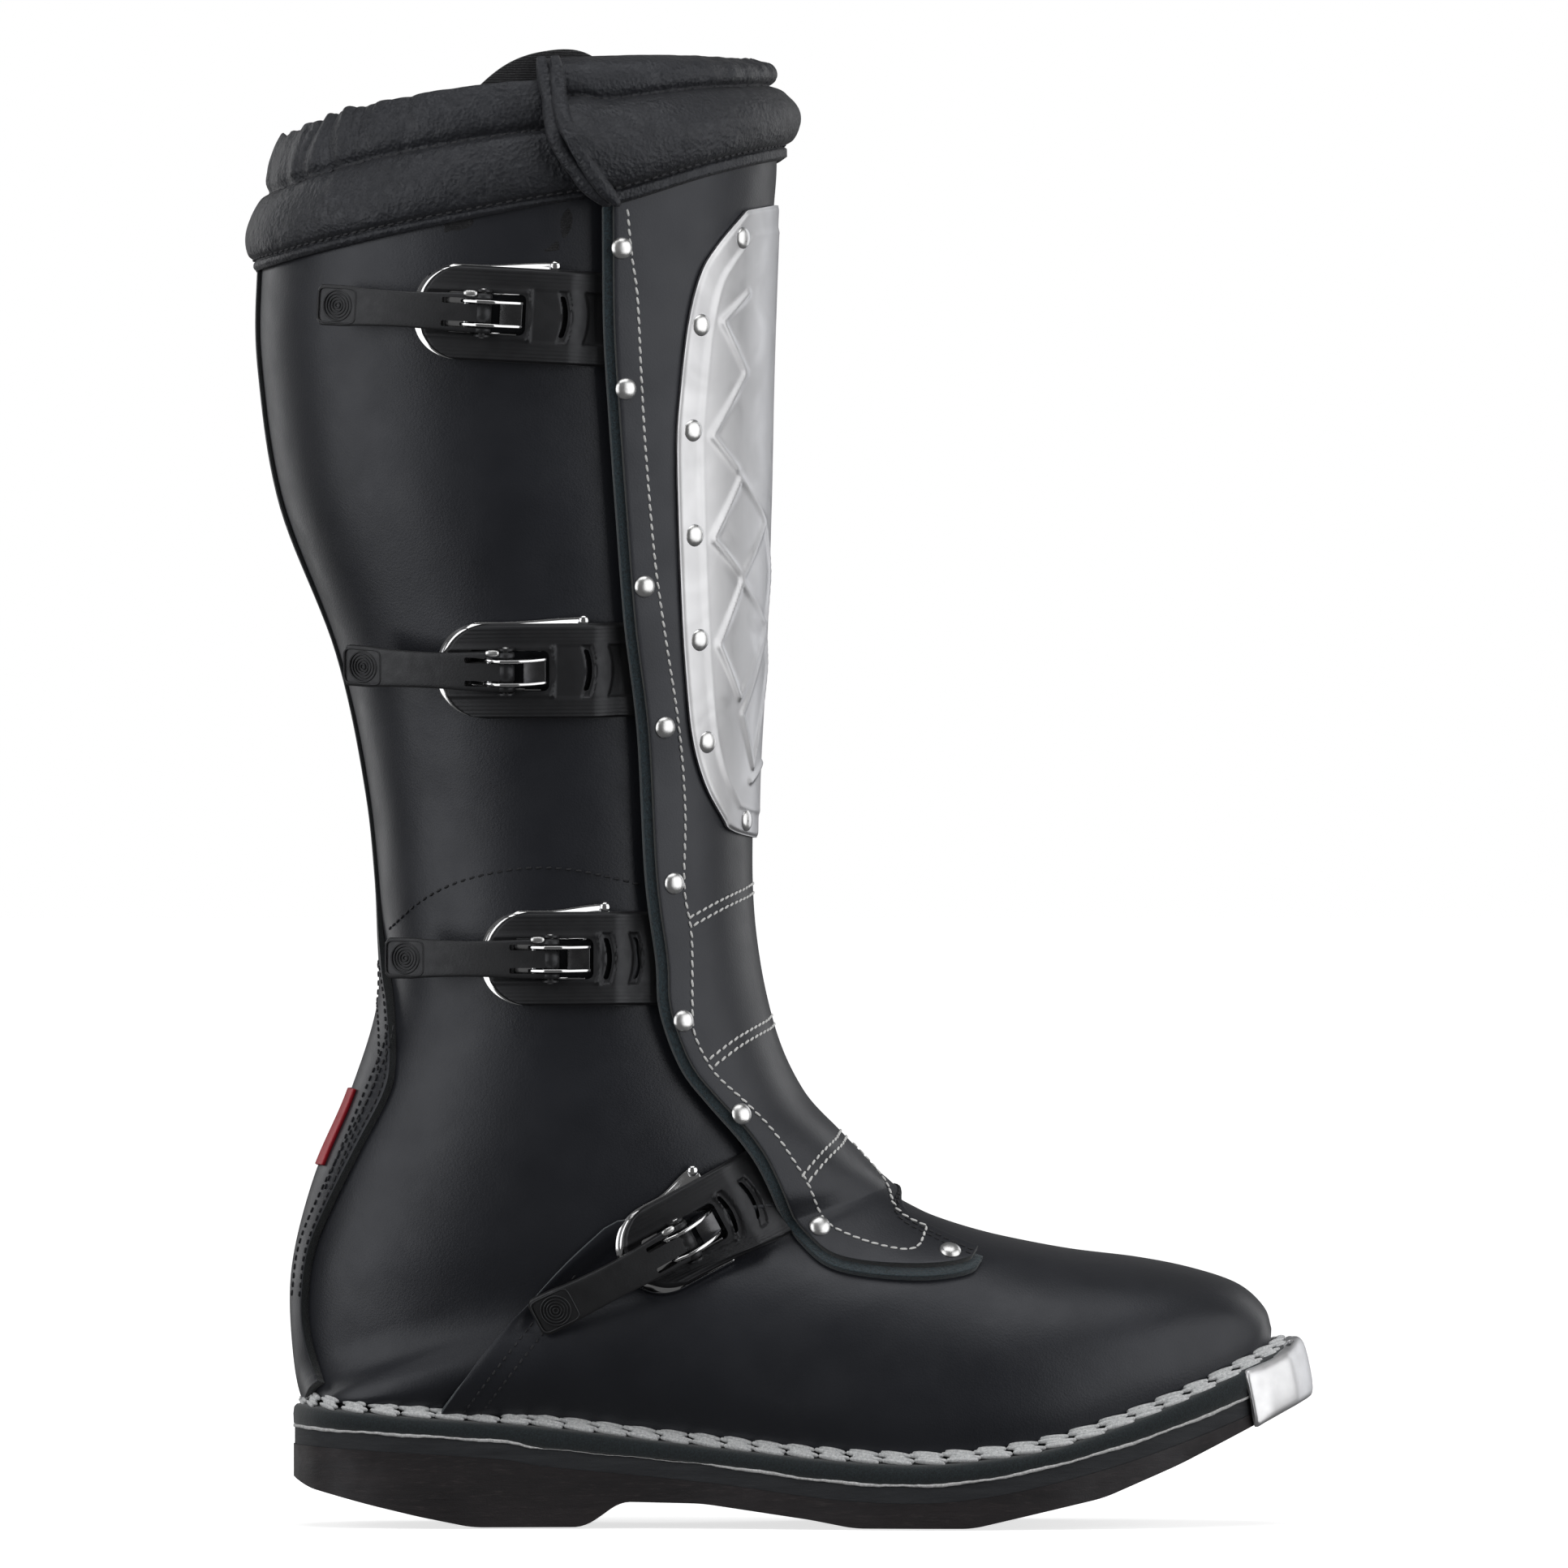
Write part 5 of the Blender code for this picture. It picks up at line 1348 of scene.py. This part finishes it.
def build_front_collar():
    low = edge_by_u(smooth_line(FRONT_COLLAR_FOOT, 6))
    high = edge_by_u(smooth_line(FRONT_COLLAR_TOP, 6))
    fold_line = edge_by_t(smooth_line(FRONT_COLLAR_FOLD, 6))
    rows, columns = 60, 230
    down = np.linspace(0, 1, rows)[:, None]
    share = np.linspace(0, 1, columns)
    u = np.broadcast_to(0.5 - share, (rows, columns)).copy()
    for _ in range(5):
        t = high(u) + (low(u) - high(u)) * down
        edge = fold_line(t[:, :1])
        u = edge + (-0.5 - edge) * share
    points = surface(t, u)
    drop = down * FRONT_COLLAR_DEPTH
    along = arc_along(t, u)
    base = 1.0 + (4.7 + 0.85 * flap_raise(t, u)) * smoothstep(down / 0.55)
    puff = 5.6 * np.sin(math.pi * np.clip((drop - 8.0) / 23.0, 0, 1)) ** 0.55
    tunnel = 3.6 * np.sin(math.pi * np.clip(drop / 8.0, 0, 1) ** 0.8) ** 0.6
    thick = 1.9 + np.where(drop < 8.0, tunnel, puff) + 1.1 * smoothstep((drop - 30.5) / 2.0)
    thick = thick + seam_dip(drop - 8.0, 0.9, 1.2) + seam_dip(drop - 30.6, 0.9, 1.0)
    front = smoothstep((0.33 - np.abs(u)) / 0.2)
    fold = gathers(along, drop + 0 * along, 9.5, 61)
    thick = thick + (fold - 0.55) * (0.12 + 1.5 * front) * smoothstep((15.0 - drop) / 9.0)
    thick = thick + 0.45 * value_noise(points * (1, 1, 0.7), 16.0, 71) * smoothstep((34.0 - drop) / 6.0)
    thick = thick + creases(points, 4.2, 0.25, 81, (1.0, 1.0, 0.8)) * smoothstep((31.0 - drop) / 4.0)
    pull = np.sin(along / 5.5 + drop * 0.12 + 2.0 * value_noise(points, 30.0, 91)) * np.exp(-along / 14.0)
    level = base + thick + 0.5 * pull
    outer = offset(t, u, level)
    crown = (fold - 0.5) * (0.15 + 1.3 * front) * smoothstep((8.0 - drop) / 7.0)
    outer[..., 2] += crown
    inner = offset(t, u, base - 0.2)
    inner[0] = offset(t[0], u[0], base[0] - 3.2)
    crest = (outer[:1] + inner[:1]) / 2 + np.array([0, 0, 1.4])
    hem = (outer[-1:] + inner[-1:]) / 2 - np.array([0, 0, 1.1])
    sections = np.concatenate([outer, hem, inner[::-1], crest], axis=0).transpose(1, 0, 2)
    collar = closed_loft(
        "front_collar_padded", sections, "soft_leather", slot="soft_leather", replaces=["front_collar"]
    )
    seams = []
    for height in FRONT_COLLAR_SEAMS:
        k = int(np.argmin(np.abs(drop[:, 0] - height)))
        seams.append((outer[k], normal(t[k], u[k])))
    # The collar thread's lighter grey is a painted glint on black thread.
    stitches("front_collar_stitches", seams, "collar_thread", 3.1, 0.68, 0.95)
    collar_rolls(base, t, u)


ROLL_SIDES = 14
ROLL_FLATNESS = 0.85


def tube(path, radii, ways, outs):
    """Sections of a slightly flattened roll along a path."""
    sections = []
    for place, radius, way, out in zip(path, radii, ways, outs):
        across = np.cross(out, way)
        sections.append([
            place + across * radius * math.cos(a) + out * radius * ROLL_FLATNESS * math.sin(a)
            for a in turns_of(ROLL_SIDES)
        ])
    return sections


def collar_rolls(base, t, u):
    """The two leather rolls that bind the front collar's rear edge."""
    for index, (shift, level, thick) in enumerate(((-1.0, 3.2, 2.9), (2.6, 5.4, 2.6))):
        column = np.linspace(0, len(t) - 1, 90).astype(int)
        line = offset(t[column, 0], u[column, 0], base[column, 0] + level)
        out = normal(t[column, 0], u[column, 0])
        line = line + np.column_stack([np.full(len(line), shift), np.zeros(len(line)), np.zeros(len(line))])
        share = np.linspace(0, 1, len(line))
        line[:, 2] += 1.2 * (1 - share) ** 6 - 1.2 * share**6
        line[:, 0] += 0.7 * np.sin(share * 9.0 + index * 1.4)
        places, ways, outs = even_path(line, 0.9, out)
        along = np.linspace(0, 1, len(places))
        radii = thick * (0.95 + 0.05 * np.sin(along * 17 + index) + 0.03 * np.sin(along * 41 + 2 * index))
        radii *= np.clip(np.sqrt(np.sin(math.pi * np.clip(along * 0.94 + 0.03, 0, 1))) * 1.5, 0.2, 1.0)
        sections = tube(places, radii, ways, outs)
        closed_loft(f"collar_roll_{index + 1}", sections, "soft_leather", slot="soft_leather")


def build_gusset():
    rows = np.concatenate([np.linspace(0.9, 8, 90), np.linspace(8.1, 11.5, 40)])[:, None]
    u = np.linspace(-0.56, 0.56, 90) + 0 * rows
    t = rows + 0 * u
    level = lambda t, u: -3.6 + 0.8 * value_noise(surface(t, u), 12.0, 51)
    leather_sheet(
        "gusset_fabric", [(t, u)], lambda t, u: level(t, u) - 1.6, level, look="fabric", edge_look="fabric",
        slot="fabric", replaces=["gusset"],
    )
    tab_u = np.linspace(0.36, 0.585, 40)
    share = np.linspace(0, 1, 50)[:, None]
    middle = (tab_u - 0.47) / 0.115
    top = 0.02 + 0.30 * np.abs(middle) ** 2.5
    t = top + (2.1 - top) * share
    u = tab_u + 0 * t
    tuck = lambda u: 1.5 * smoothstep((0.42 - u) / 0.06)
    level = lambda t, u: -0.2 + 0.7 * value_noise(surface(t, u), 9.0, 52) - tuck(u)
    leather_sheet(
        "gusset_closing_tab", [(t, u)], lambda t, u: level(t, u) - 1.8, level, look="fabric",
        edge_look="fabric", slot="fabric", bevel=0.4,
    )


# ---------------------------------------------------------------- buckles
def hinge_frame(x, z, slope, lift):
    """The lever hinge's own axes: x along the strap to the front, y across it and z out of the boot."""
    t, u = (value[0] for value in locate([(x, z)]))
    out = Vector(normal(t, u))
    along = Vector((math.cos(math.radians(slope)), 0.0, math.sin(math.radians(slope))))
    along = (along - out * along.dot(out)).normalized()
    across = out.cross(along)
    origin = Vector(offset(t, u, HINGE_HEIGHT))
    turn = Matrix((along, across, out)).transposed().to_4x4()
    return Matrix.Translation(origin) @ turn @ Matrix.Rotation(math.radians(lift), 4, "Y")


def placed(matrix, points):
    """Points in a frame's own axes, put where the frame is."""
    matrix, points = np.array(matrix), np.asarray(points, float)
    return (points.reshape(-1, 3) @ matrix[:3, :3].T + matrix[:3, 3]).reshape(points.shape)


def extruded(name, outline, places, matrix, look, **rest):
    """A piece from an outline in a frame's x and z, at several places along its y."""
    sections = [[(x, y, z) for x, z in outline] for y in places]
    closed_loft(name, placed(matrix, sections), look, **rest)


def strap_places(x, z, slope, along, across):
    """t and u of a grid that runs along the strap from under its hinge."""
    turn = math.radians(slope)
    lean = normal(*locate([(x, z)]))[0] * (HINGE_HEIGHT - STRAP_LEVEL[1])
    x, z = x + lean[0], z + lean[2]
    seen_x = x + along * math.cos(turn) - across * math.sin(turn)
    seen_z = z + along * math.sin(turn) + across * math.cos(turn)
    t, u = locate(np.column_stack([seen_x.reshape(-1), seen_z.reshape(-1)]))
    return t.reshape(along.shape), u.reshape(along.shape)


CUT_KEEPS = 0.9


def extent(mesh):
    """A mesh's size along each axis."""
    return np.ptp(np.array([vertex.co[:] for vertex in mesh.vertices]), axis=0)


def cut(obj, cutter):
    """Cuts one piece with another at once, and removes the cutter. A Boolean can fail without an error and
    leave a fragment, so a piece that loses more than a tenth of its extent stops the script."""
    modifier = obj.modifiers.new("cut", "BOOLEAN")
    modifier.operation = "DIFFERENCE"
    modifier.solver = "EXACT"
    modifier.object = cutter
    graph = bpy.context.evaluated_depsgraph_get()
    mesh = bpy.data.meshes.new_from_object(obj.evaluated_get(graph))
    old = obj.data
    obj.modifiers.clear()
    if not mesh.vertices or (extent(mesh) < CUT_KEEPS * extent(old)).any():
        raise ValueError(f"cutting {obj.name} lost most of it")
    obj.data = mesh
    mesh.name = obj.name
    bpy.data.meshes.remove(old)
    bpy.data.objects.remove(cutter)


def rounded_block(center, size, radius, matrix, depth=(-12.0, 12.0), bow=0.0):
    """A cutter: a rounded rectangle in x and y pushed through z, bowed forward if asked."""
    half_x, half_y = size[0] / 2 - radius, size[1] / 2 - radius
    ring = []
    for corner, start in (((1, 1), 0), ((-1, 1), 90), ((-1, -1), 180), ((1, -1), 270)):
        for a in np.radians(np.linspace(start, start + 90, 7)):
            rounded = radius * math.cos(a), radius * math.sin(a)
            ring.append((corner[0] * half_x + rounded[0], corner[1] * half_y + rounded[1]))
    dense = []
    for a, b in zip(ring, ring[1:] + ring[:1]):
        steps = max(1, int(math.hypot(b[0] - a[0], b[1] - a[1]) / 1.2))
        dense += [(a[0] + (b[0] - a[0]) * s / steps, a[1] + (b[1] - a[1]) * s / steps) for s in range(steps)]
    sections = []
    for z in depth:
        sections.append([
            (center[0] + x - bow * (y / (size[1] / 2)) ** 2, center[1] + y, z) for x, y in dense
        ])
    points = placed(matrix, np.array(sections).reshape(-1, 3))
    count = len(dense)
    faces = [list(range(count)), list(range(count, 2 * count))]
    faces += [[i, (i + 1) % count, count + (i + 1) % count, count + i] for i in range(count)]
    mesh = bpy.data.meshes.new("cutter")
    mesh.from_pydata((points * MM).tolist(), [], faces)
    build = bmesh.new()
    build.from_mesh(mesh)
    bmesh.ops.recalc_face_normals(build, faces=build.faces)
    build.to_mesh(mesh)
    build.free()
    obj = bpy.data.objects.new("cutter", mesh)
    bpy.context.scene.collection.objects.link(obj)
    return obj


STRAP_SLOTS = [(24.2,), (24.2,), (17.1, 25.6), (15.8, 24.0)]
STRAP_HALF = 14.35


def strap(k, x, z, slope, slot, end, frame_of):
    """The ribbed strap: a D end with an opening for the link, then raised bars and adjusting slots."""
    half = STRAP_HALF
    v = np.sin(np.linspace(-1, 1, 76) * math.pi / 2 * 0.985) / math.sin(math.pi / 2 * 0.985)
    rows = v * half
    rear = -18.4 + 13.2 * (1 - np.sqrt(np.clip(1 - (np.abs(rows) / (half + 0.02)) ** 2.4, 0, 1)))
    s = np.linspace(0, 1, 150)[:, None]
    along = rear + (end - rear) * s
    across = rows + 0 * along
    t, u = strap_places(x, z, slope, along, across)
    fall = smoothstep((along - slot - 1.4) / 9.6)
    high = STRAP_LEVEL[1] + (STRAP_END_LEVEL[1] - STRAP_LEVEL[1]) * fall
    low = STRAP_LEVEL[0] + (STRAP_END_LEVEL[0] - STRAP_LEVEL[0]) * fall
    rail = smoothstep((np.abs(across) - 7.4) / 0.8)
    ribs = 0.06 * np.sin(across * 2 * math.pi / 1.15) * smoothstep((np.abs(across) - 8.4) / 0.5)
    edge = -1.1 * smoothstep((np.abs(across) - 13.2) / 1.15) ** 2
    rear_edge = -1.1 * smoothstep(1 - (along - rear) / 1.5) ** 2
    tread_zone = smoothstep((along - 13.5) / 1.0) * (1 - rail)
    dish = -0.75 * tread_zone
    bowed = along + 1.2 * (across / 7) ** 2
    first = STRAP_SLOTS[k - 1][0]
    bars = 0.55 * smoothstep((bowed - 13.8) / 0.5) * smoothstep((first - 0.9 - bowed) / 0.5)
    for place in STRAP_SLOTS[k - 1]:
        bars = bars + 0.85 * smoothstep((bowed - place - 1.2) / 0.5) * smoothstep((place + 7.2 - bowed) / 0.6)
    bars = bars * (1 - rail)
    window = 0.35 * np.exp(-(((np.abs(across) - 7.0) / 0.7) ** 2)) * smoothstep((14.2 - along) / 0.8)
    top = offset(t, u, high + ribs + edge + rear_edge + dish + bars + window)
    under = offset(t, u, low)
    body = thick_grids(f"strap_body_{k}", [(top, under)], "strap", slot="plastic", replaces=[f"strap_{k}"])
    cut(body, rounded_block((0.4, 0.0), (25.0, 12.4), 2.0, frame_of))
    for place in STRAP_SLOTS[k - 1]:
        cut(body, rounded_block((place + 0.6, 0.0), (1.5, 12.6), 0.7, frame_of, bow=1.2))
    sharpened(body, 42)


ROLL_PLACES = [(20.5, 16.3), (22.5, 16.0), (15.7, 16.6), (11.5, 17.8)]


def base_plate(k, x, z, slope, frame_of):
    """The nickel plate under the strap, its hinge ears and the small rivet at its upper front corner."""
    v = np.sin(np.linspace(-1, 1, 44) * math.pi / 2 * 0.985) / math.sin(math.pi / 2 * 0.985)
    roll_x, roll_h = ROLL_PLACES[k - 1]
    rows = 0.2 + v * 14.4
    rear = -20.9 + 13.5 * (1 - np.sqrt(np.clip(1 - np.abs(v) ** 2.3, 0, 1)))
    s = np.linspace(0, 1, 70)[:, None]
    lead = 10.0 + (roll_x + 1.2 - 10.0) * smoothstep((v - 0.35) / 0.5)
    along = rear + (lead - rear) * s
    rise = (roll_h - 14.6) * smoothstep((v - 0.6) / 0.4) * smoothstep((along + 2.0) / (roll_x + 2.0))
    across = rows + rise
    t, u = strap_places(x, z, slope, along, across)
    reach = 2.0 + 3.6 * smoothstep(-2.0 * v)
    inward = np.minimum(smoothstep((along - rear) / reach), smoothstep((1 - np.abs(v)) * 15.3 / 2.4))
    rim = 0.1 + 1.5 * inward
    top = offset(t, u, BASE_LEVEL[1] + rim)
    under = offset(t, u, BASE_LEVEL[0] + 0.05 + rim)
    plate = thick_grids(
        f"base_plate_sheet_{k}", [(top, under)], "chrome", slot="chrome", replaces=[f"base_plate_{k}"],
        bevel=0.2,
    )
    cut(plate, rounded_block((4.0, 0.0), (17.5, 11.4), 1.5, frame_of))
    rivet = strap_places(x, z, slope, np.array([roll_x]), np.array([roll_h - 0.9]))
    rivet_t, rivet_u = (value[0] for value in rivet)
    shape, faces = lathe(DOME)
    shape = offset(rivet_t, rivet_u, BASE_LEVEL[1] + 1.4) + shape * 0.5 @ standing(rivet_t, rivet_u)
    piece(f"base_plate_rivet_{k}", shape, faces, "chrome", slot="chrome")
    foot = BASE_LEVEL[0] + 0.3 - HINGE_HEIGHT
    outline = [
        (-2.6, foot), (2.3, foot), (2.5, -1.0), (2.1, 1.2), (1.1, 2.2), (-1.1, 2.2), (-2.1, 1.2),
        (-2.5, -1.0),
    ]
    for side, low in (("top", 6.4), ("low", -7.3)):
        extruded(
            f"hinge_ear_{side}_{k}", outline, (low, low + 0.9), frame_of, "plastic", slot="plastic", bevel=0.2
        )


LEVER_BEND = 25.0
LEVER_LENGTH = 52.0
BARREL = [
    (0, 6.15), (2.1, 6.15), (2.65, 5.8), (2.75, 4.8), (2.75, 4.5), (2.3, 4.42), (2.3, 2.72), (2.75, 2.6),
    (2.75, -2.6), (2.3, -2.72), (2.3, -4.42), (2.75, -4.5), (2.75, -4.8), (2.65, -5.8), (2.1, -6.15),
    (0.01, -6.15),
]
GRIP_SHARE = 0.86
GRIP_SIDES = 56
GRIP_RINGS = (4.6, 3.65, 2.7, 1.75, 0.8)
GRIP_PROFILE = [(0.32, -0.3), (0.24, 0.42), (0, 0.6), (-0.24, 0.42), (-0.32, -0.3)]
GRIP_RIM_PROFILE = [(0.3, -0.3), (0.25, 0.28), (-0.25, 0.28), (-0.3, -0.3)]


def lever(k, frame_of):
    """The bent plastic lever with its hinge barrel, two slots for the link and a ringed thumb grip."""
    bend = math.radians(LEVER_BEND)
    radius = LEVER_LENGTH / bend
    sections = []
    for share in np.linspace(-0.02, 1, 74):
        turned = bend * share
        center = np.array([-radius * math.sin(turned), 0, -radius * (1 - math.cos(turned))])
        out = np.array([-math.sin(turned), 0, math.cos(turned)])
        waist = 0.55 * math.sin(math.pi * min(1, max(0, (share - 0.15) / 0.65)))
        half_width = 6.0 - waist + 0.25 * smoothstep((share - 0.75) / 0.1)
        high = 2.3 - 0.25 * smoothstep((share - 0.82) / 0.03)
        low = -1.6 + 1.15 * smoothstep((share - 0.1) / 0.25)
        end = smoothstep((share - 0.955) / 0.045)
        half_width -= 1.5 * end**2.2
        high, low = high - 0.9 * end**3, low + 0.7 * end**3
        ring = []
        for a in turns_of(44):
            c, s = math.cos(a), math.sin(a)
            y = math.copysign(abs(c) ** 0.28, c) * half_width
            z = (high + low) / 2 + math.copysign(abs(s) ** 0.34, s) * (high - low) / 2
            ring.append(center + out * z + np.array([0, y, 0]))
        sections.append(ring)
    rides = {"body": f"buckle_lever_{k}", "slot": "plastic"}
    body = closed_loft(
        f"lever_body_{k}", placed(frame_of, sections), "plastic", replaces=[f"lever_{k}"], **rides
    )
    for side in (-1, 1):
        cut(body, rounded_block((-5.6, side * 3.55), (13.6, 1.75), 0.6, frame_of))
    sharpened(body, 50)
    shape, faces = lathe(BARREL)
    piece(f"lever_barrel_{k}", placed(frame_of, shape[:, [0, 2, 1]]), faces, "plastic", **rides)
    grip(k, frame_of, radius, bend, rides)


def grip(k, frame_of, radius, bend, rides):
    """Plain raised rings on the lever's thumb pad, with a rim round them."""
    turned = bend * GRIP_SHARE
    center = Vector((-radius * math.sin(turned), 0, -radius * (1 - math.cos(turned))))
    out = Vector((-math.sin(turned), 0, math.cos(turned)))
    along = Vector((math.cos(turned), 0, math.sin(turned)))
    turn = Matrix((along, out.cross(along), out)).transposed().to_4x4()
    here = frame_of @ Matrix.Translation(center + out * 2.0) @ turn
    points, faces = [], []
    for ring in GRIP_RINGS:
        faces += band_faces(len(GRIP_PROFILE), GRIP_SIDES, True, len(points))
        for wider, height in GRIP_PROFILE:
            reach = ring + wider
            points += [(reach * math.cos(a), reach * math.sin(a), height) for a in turns_of(GRIP_SIDES)]
    piece(f"lever_grip_rings_{k}", placed(here, points), faces, "plastic", **rides)
    sections = []
    for a in turns_of(72):
        c, s = math.cos(a), math.sin(a)
        place = np.array([math.copysign(abs(c) ** 0.3, c) * 6.3 - 0.3, math.copysign(abs(s) ** 0.3, s) * 5.3])
        sections.append([(*(place + unit(place) * d), h) for d, h in GRIP_RIM_PROFILE])
    closed_ring(f"lever_grip_rim_{k}", placed(here, sections), "plastic", **rides)


def link(k, frame_of):
    """The bright link: two arched walls and the hooked floor that sits in the strap's opening. The floor is
    given a darkened copy of the steel as painted shade, for the shadow in the opening.
    """
    at_link = frame_of @ Matrix.Translation((-LINK_ARM, 0, 0))
    outline = [
        (-1.7, -0.8), (-0.8, -1.8), (0.9, -1.7), (1.9, 0.2), (3.0, 1.9), (6.6, 1.9), (10.1, -2.3),
        (10.4, -5.4), (16.6, -4.2), (16.6, -2.4), (12.6, 1.6), (8.2, 3.9),
        (3.4, 4.2), (0.6, 2.6), (-1.0, 1.5), (-1.8, 0.4),
    ]
    fine = smooth_line(outline + outline[:1], 4)[:-1]
    rides = {"body": f"buckle_link_{k}", "slot": "chrome"}
    for side, walls in enumerate(((-4.05, -3.05), (3.05, 4.05)), 1):
        extruded(
            f"link_wall_{side}_{k}", fine, walls, at_link, "chrome", bevel=0.22,
            replaces=[f"link_{k}"] if side == 1 else (), **rides,
        )
    # The floor takes the darkened steel: painted shade for the shadow in the strap's opening.
    floor = [(10.2, -5.5), (11.4, -5.5), (11.4, -4.3), (16.6, -4.3), (16.8, -3.4), (9.9, -3.4)]
    extruded(
        f"link_floor_{k}", floor, np.linspace(-3.9, 3.9, 9), at_link, "dark_steel", bevel=0.15, **rides
    )


def pin(name, matrix, radius, half, body, node):
    """A polished pin with lightly domed ends."""
    rows = [
        (0, half), (radius * 0.7, half - 0.05), (radius, half - 0.35), (radius, -half + 0.35),
        (radius * 0.7, -half + 0.05), (0.01, -half),
    ]
    shape, faces = lathe(rows, 20)
    piece(name, placed(matrix, shape[:, [0, 2, 1]]), faces, "rivet", body=body, slot="steel", replaces=[node])


def oval_head(k, frame_of):
    """The oval head of the link pin, on the lever's upper face."""
    points = BEAD_POINTS * (2.2, 1.05, 0.55) + (-3.8, 5.9, 2.35)
    piece(
        f"link_pin_head_{k}", placed(frame_of, points), BEAD_FACES, "rivet", body=f"buckle_lever_{k}",
        slot="steel",
    )


def build_buckles():
    for k, (x, z, slope, lift, slot, end) in enumerate(BUCKLES, 1):
        frame_of = hinge_frame(x, z, slope, lift)
        strap(k, x, z, slope, slot, end, frame_of)
        base_plate(k, x, z, slope, frame_of)
        lever(k, frame_of)
        link(k, frame_of)
        pin(f"hinge_pin_steel_{k}", frame_of, *HINGE_PIN, "boot", f"hinge_pin_{k}")
        at_link = frame_of @ Matrix.Translation((-LINK_ARM, 0, 0))
        pin(f"link_pin_steel_{k}", at_link, *LINK_PIN, f"buckle_lever_{k}", f"link_pin_{k}")
        oval_head(k, frame_of)


# ---------------------------------------------------------------- inside of the boot
INSIDE = {
    "lining": "lining", "heel_counter": "board", "toe_puff": "board", "sole_filler": "cork", "shank": "guard",
    "insole_board": "lining",
}


def finish_inside():
    for node, look in INSIDE.items():
        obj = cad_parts[node]
        obj.data.materials.clear()
        obj.data.materials.append(LOOKS[look])


# ---------------------------------------------------------------- studio
PICTURE_WIDTH = 479.1
PICTURE_CENTER = (90.8, 225.9)
LENS = 500.0
SENSOR = 36.0
WORLD_FILL = 0.11
FLOOR_HEIGHT = -0.0005
SOFTBOXES = [
    ("left_softbox", (-1.5, -1.0, 0.45), (1.8, 2.2), 1.55),
    ("right_softbox", (1.7, -0.8, 0.45), (2.4, 2.2), 1.4),
    ("top_softbox", (0.1, -0.5, 1.9), (1.8, 1.2), 1.7),
    ("back_left_softbox", (-1.4, 1.3, 0.6), (1.0, 1.8), 1.2),
    ("back_right_softbox", (1.5, 1.3, 0.6), (1.0, 1.8), 1.1),
]


def area_light(name, place, target, size, power):
    data = bpy.data.lights.new(name, "AREA")
    data.shape = "RECTANGLE"
    data.size, data.size_y = size
    data.energy = power
    obj = bpy.data.objects.new(name, data)
    obj.location = place
    obj.rotation_euler = (Vector(target) - Vector(place)).to_track_quat("-Z", "Y").to_euler()
    bpy.context.scene.collection.objects.link(obj)


def studio():
    scene = bpy.context.scene
    scene.view_settings.view_transform = "Standard"
    world = bpy.data.worlds.new("pale_studio")
    scene.world = world
    world.use_nodes = True
    tree = world.node_tree
    back = tree.nodes["Background"]
    back.inputs["Color"].default_value = (1, 1, 1, 1)
    ray = tree.nodes.new("ShaderNodeLightPath")
    power = tree.nodes.new("ShaderNodeMapRange")
    power.inputs["To Min"].default_value = WORLD_FILL
    power.inputs["To Max"].default_value = 1.0
    tree.links.new(ray.outputs["Is Camera Ray"], power.inputs["Value"])
    tree.links.new(power.outputs["Result"], back.inputs["Strength"])

    floor = bpy.data.meshes.new("floor")
    corners = [(x, y, FLOOR_HEIGHT) for x, y in ((-30, -30), (30, -30), (30, 30), (-30, 30))]
    floor.from_pydata(corners, [], [(0, 1, 2, 3)])
    ground = bpy.data.objects.new("floor", floor)
    scene.collection.objects.link(ground)
    ground.visible_diffuse = ground.visible_glossy = False
    look = Finish("pale_floor", 0.9, specular=0.1)
    look.shader.inputs["Base Color"].default_value = (0.9, 0.9, 0.9, 1)
    far = look.add("ShaderNodeVectorMath", operation="LENGTH")
    look.link(look.place, far.inputs[0])
    glow = look.ranged(far.outputs["Value"], 0.3, 1.6, 0.72, 1.0)
    look.shader.inputs["Emission Color"].default_value = (1, 1, 1, 1)
    look.link(glow, look.shader.inputs["Emission Strength"])
    floor.materials.append(look.material)

    center = (0.09, 0.0, 0.22)
    for name, place, size, radiance in SOFTBOXES:
        area_light(name, place, center, size, math.pi * size[0] * size[1] * radiance)

    camera = bpy.data.cameras.new("camera")
    camera.lens = LENS
    camera.sensor_width = SENSOR
    camera.clip_end = 100.0
    away = PICTURE_WIDTH * MM * LENS / SENSOR
    obj = bpy.data.objects.new("camera", camera)
    obj.location = (PICTURE_CENTER[0] * MM, -away, PICTURE_CENTER[1] * MM)
    obj.rotation_euler = (math.pi / 2, 0, 0)
    scene.collection.objects.link(obj)
    scene.camera = obj


build_sole()
build_upper()
build_heel_strip()
build_flap()
rivet_heads(
    "flap_rivet_heads", FLAP_RIVETS, on_flap(FLAP_TOP), [f"flap_rivet_{k}" for k in range(1, 10)],
    flatness=0.8,
)
build_plate()
build_gusset()
build_rear_collar()
build_front_collar()
build_buckles()
finish_inside()
studio()
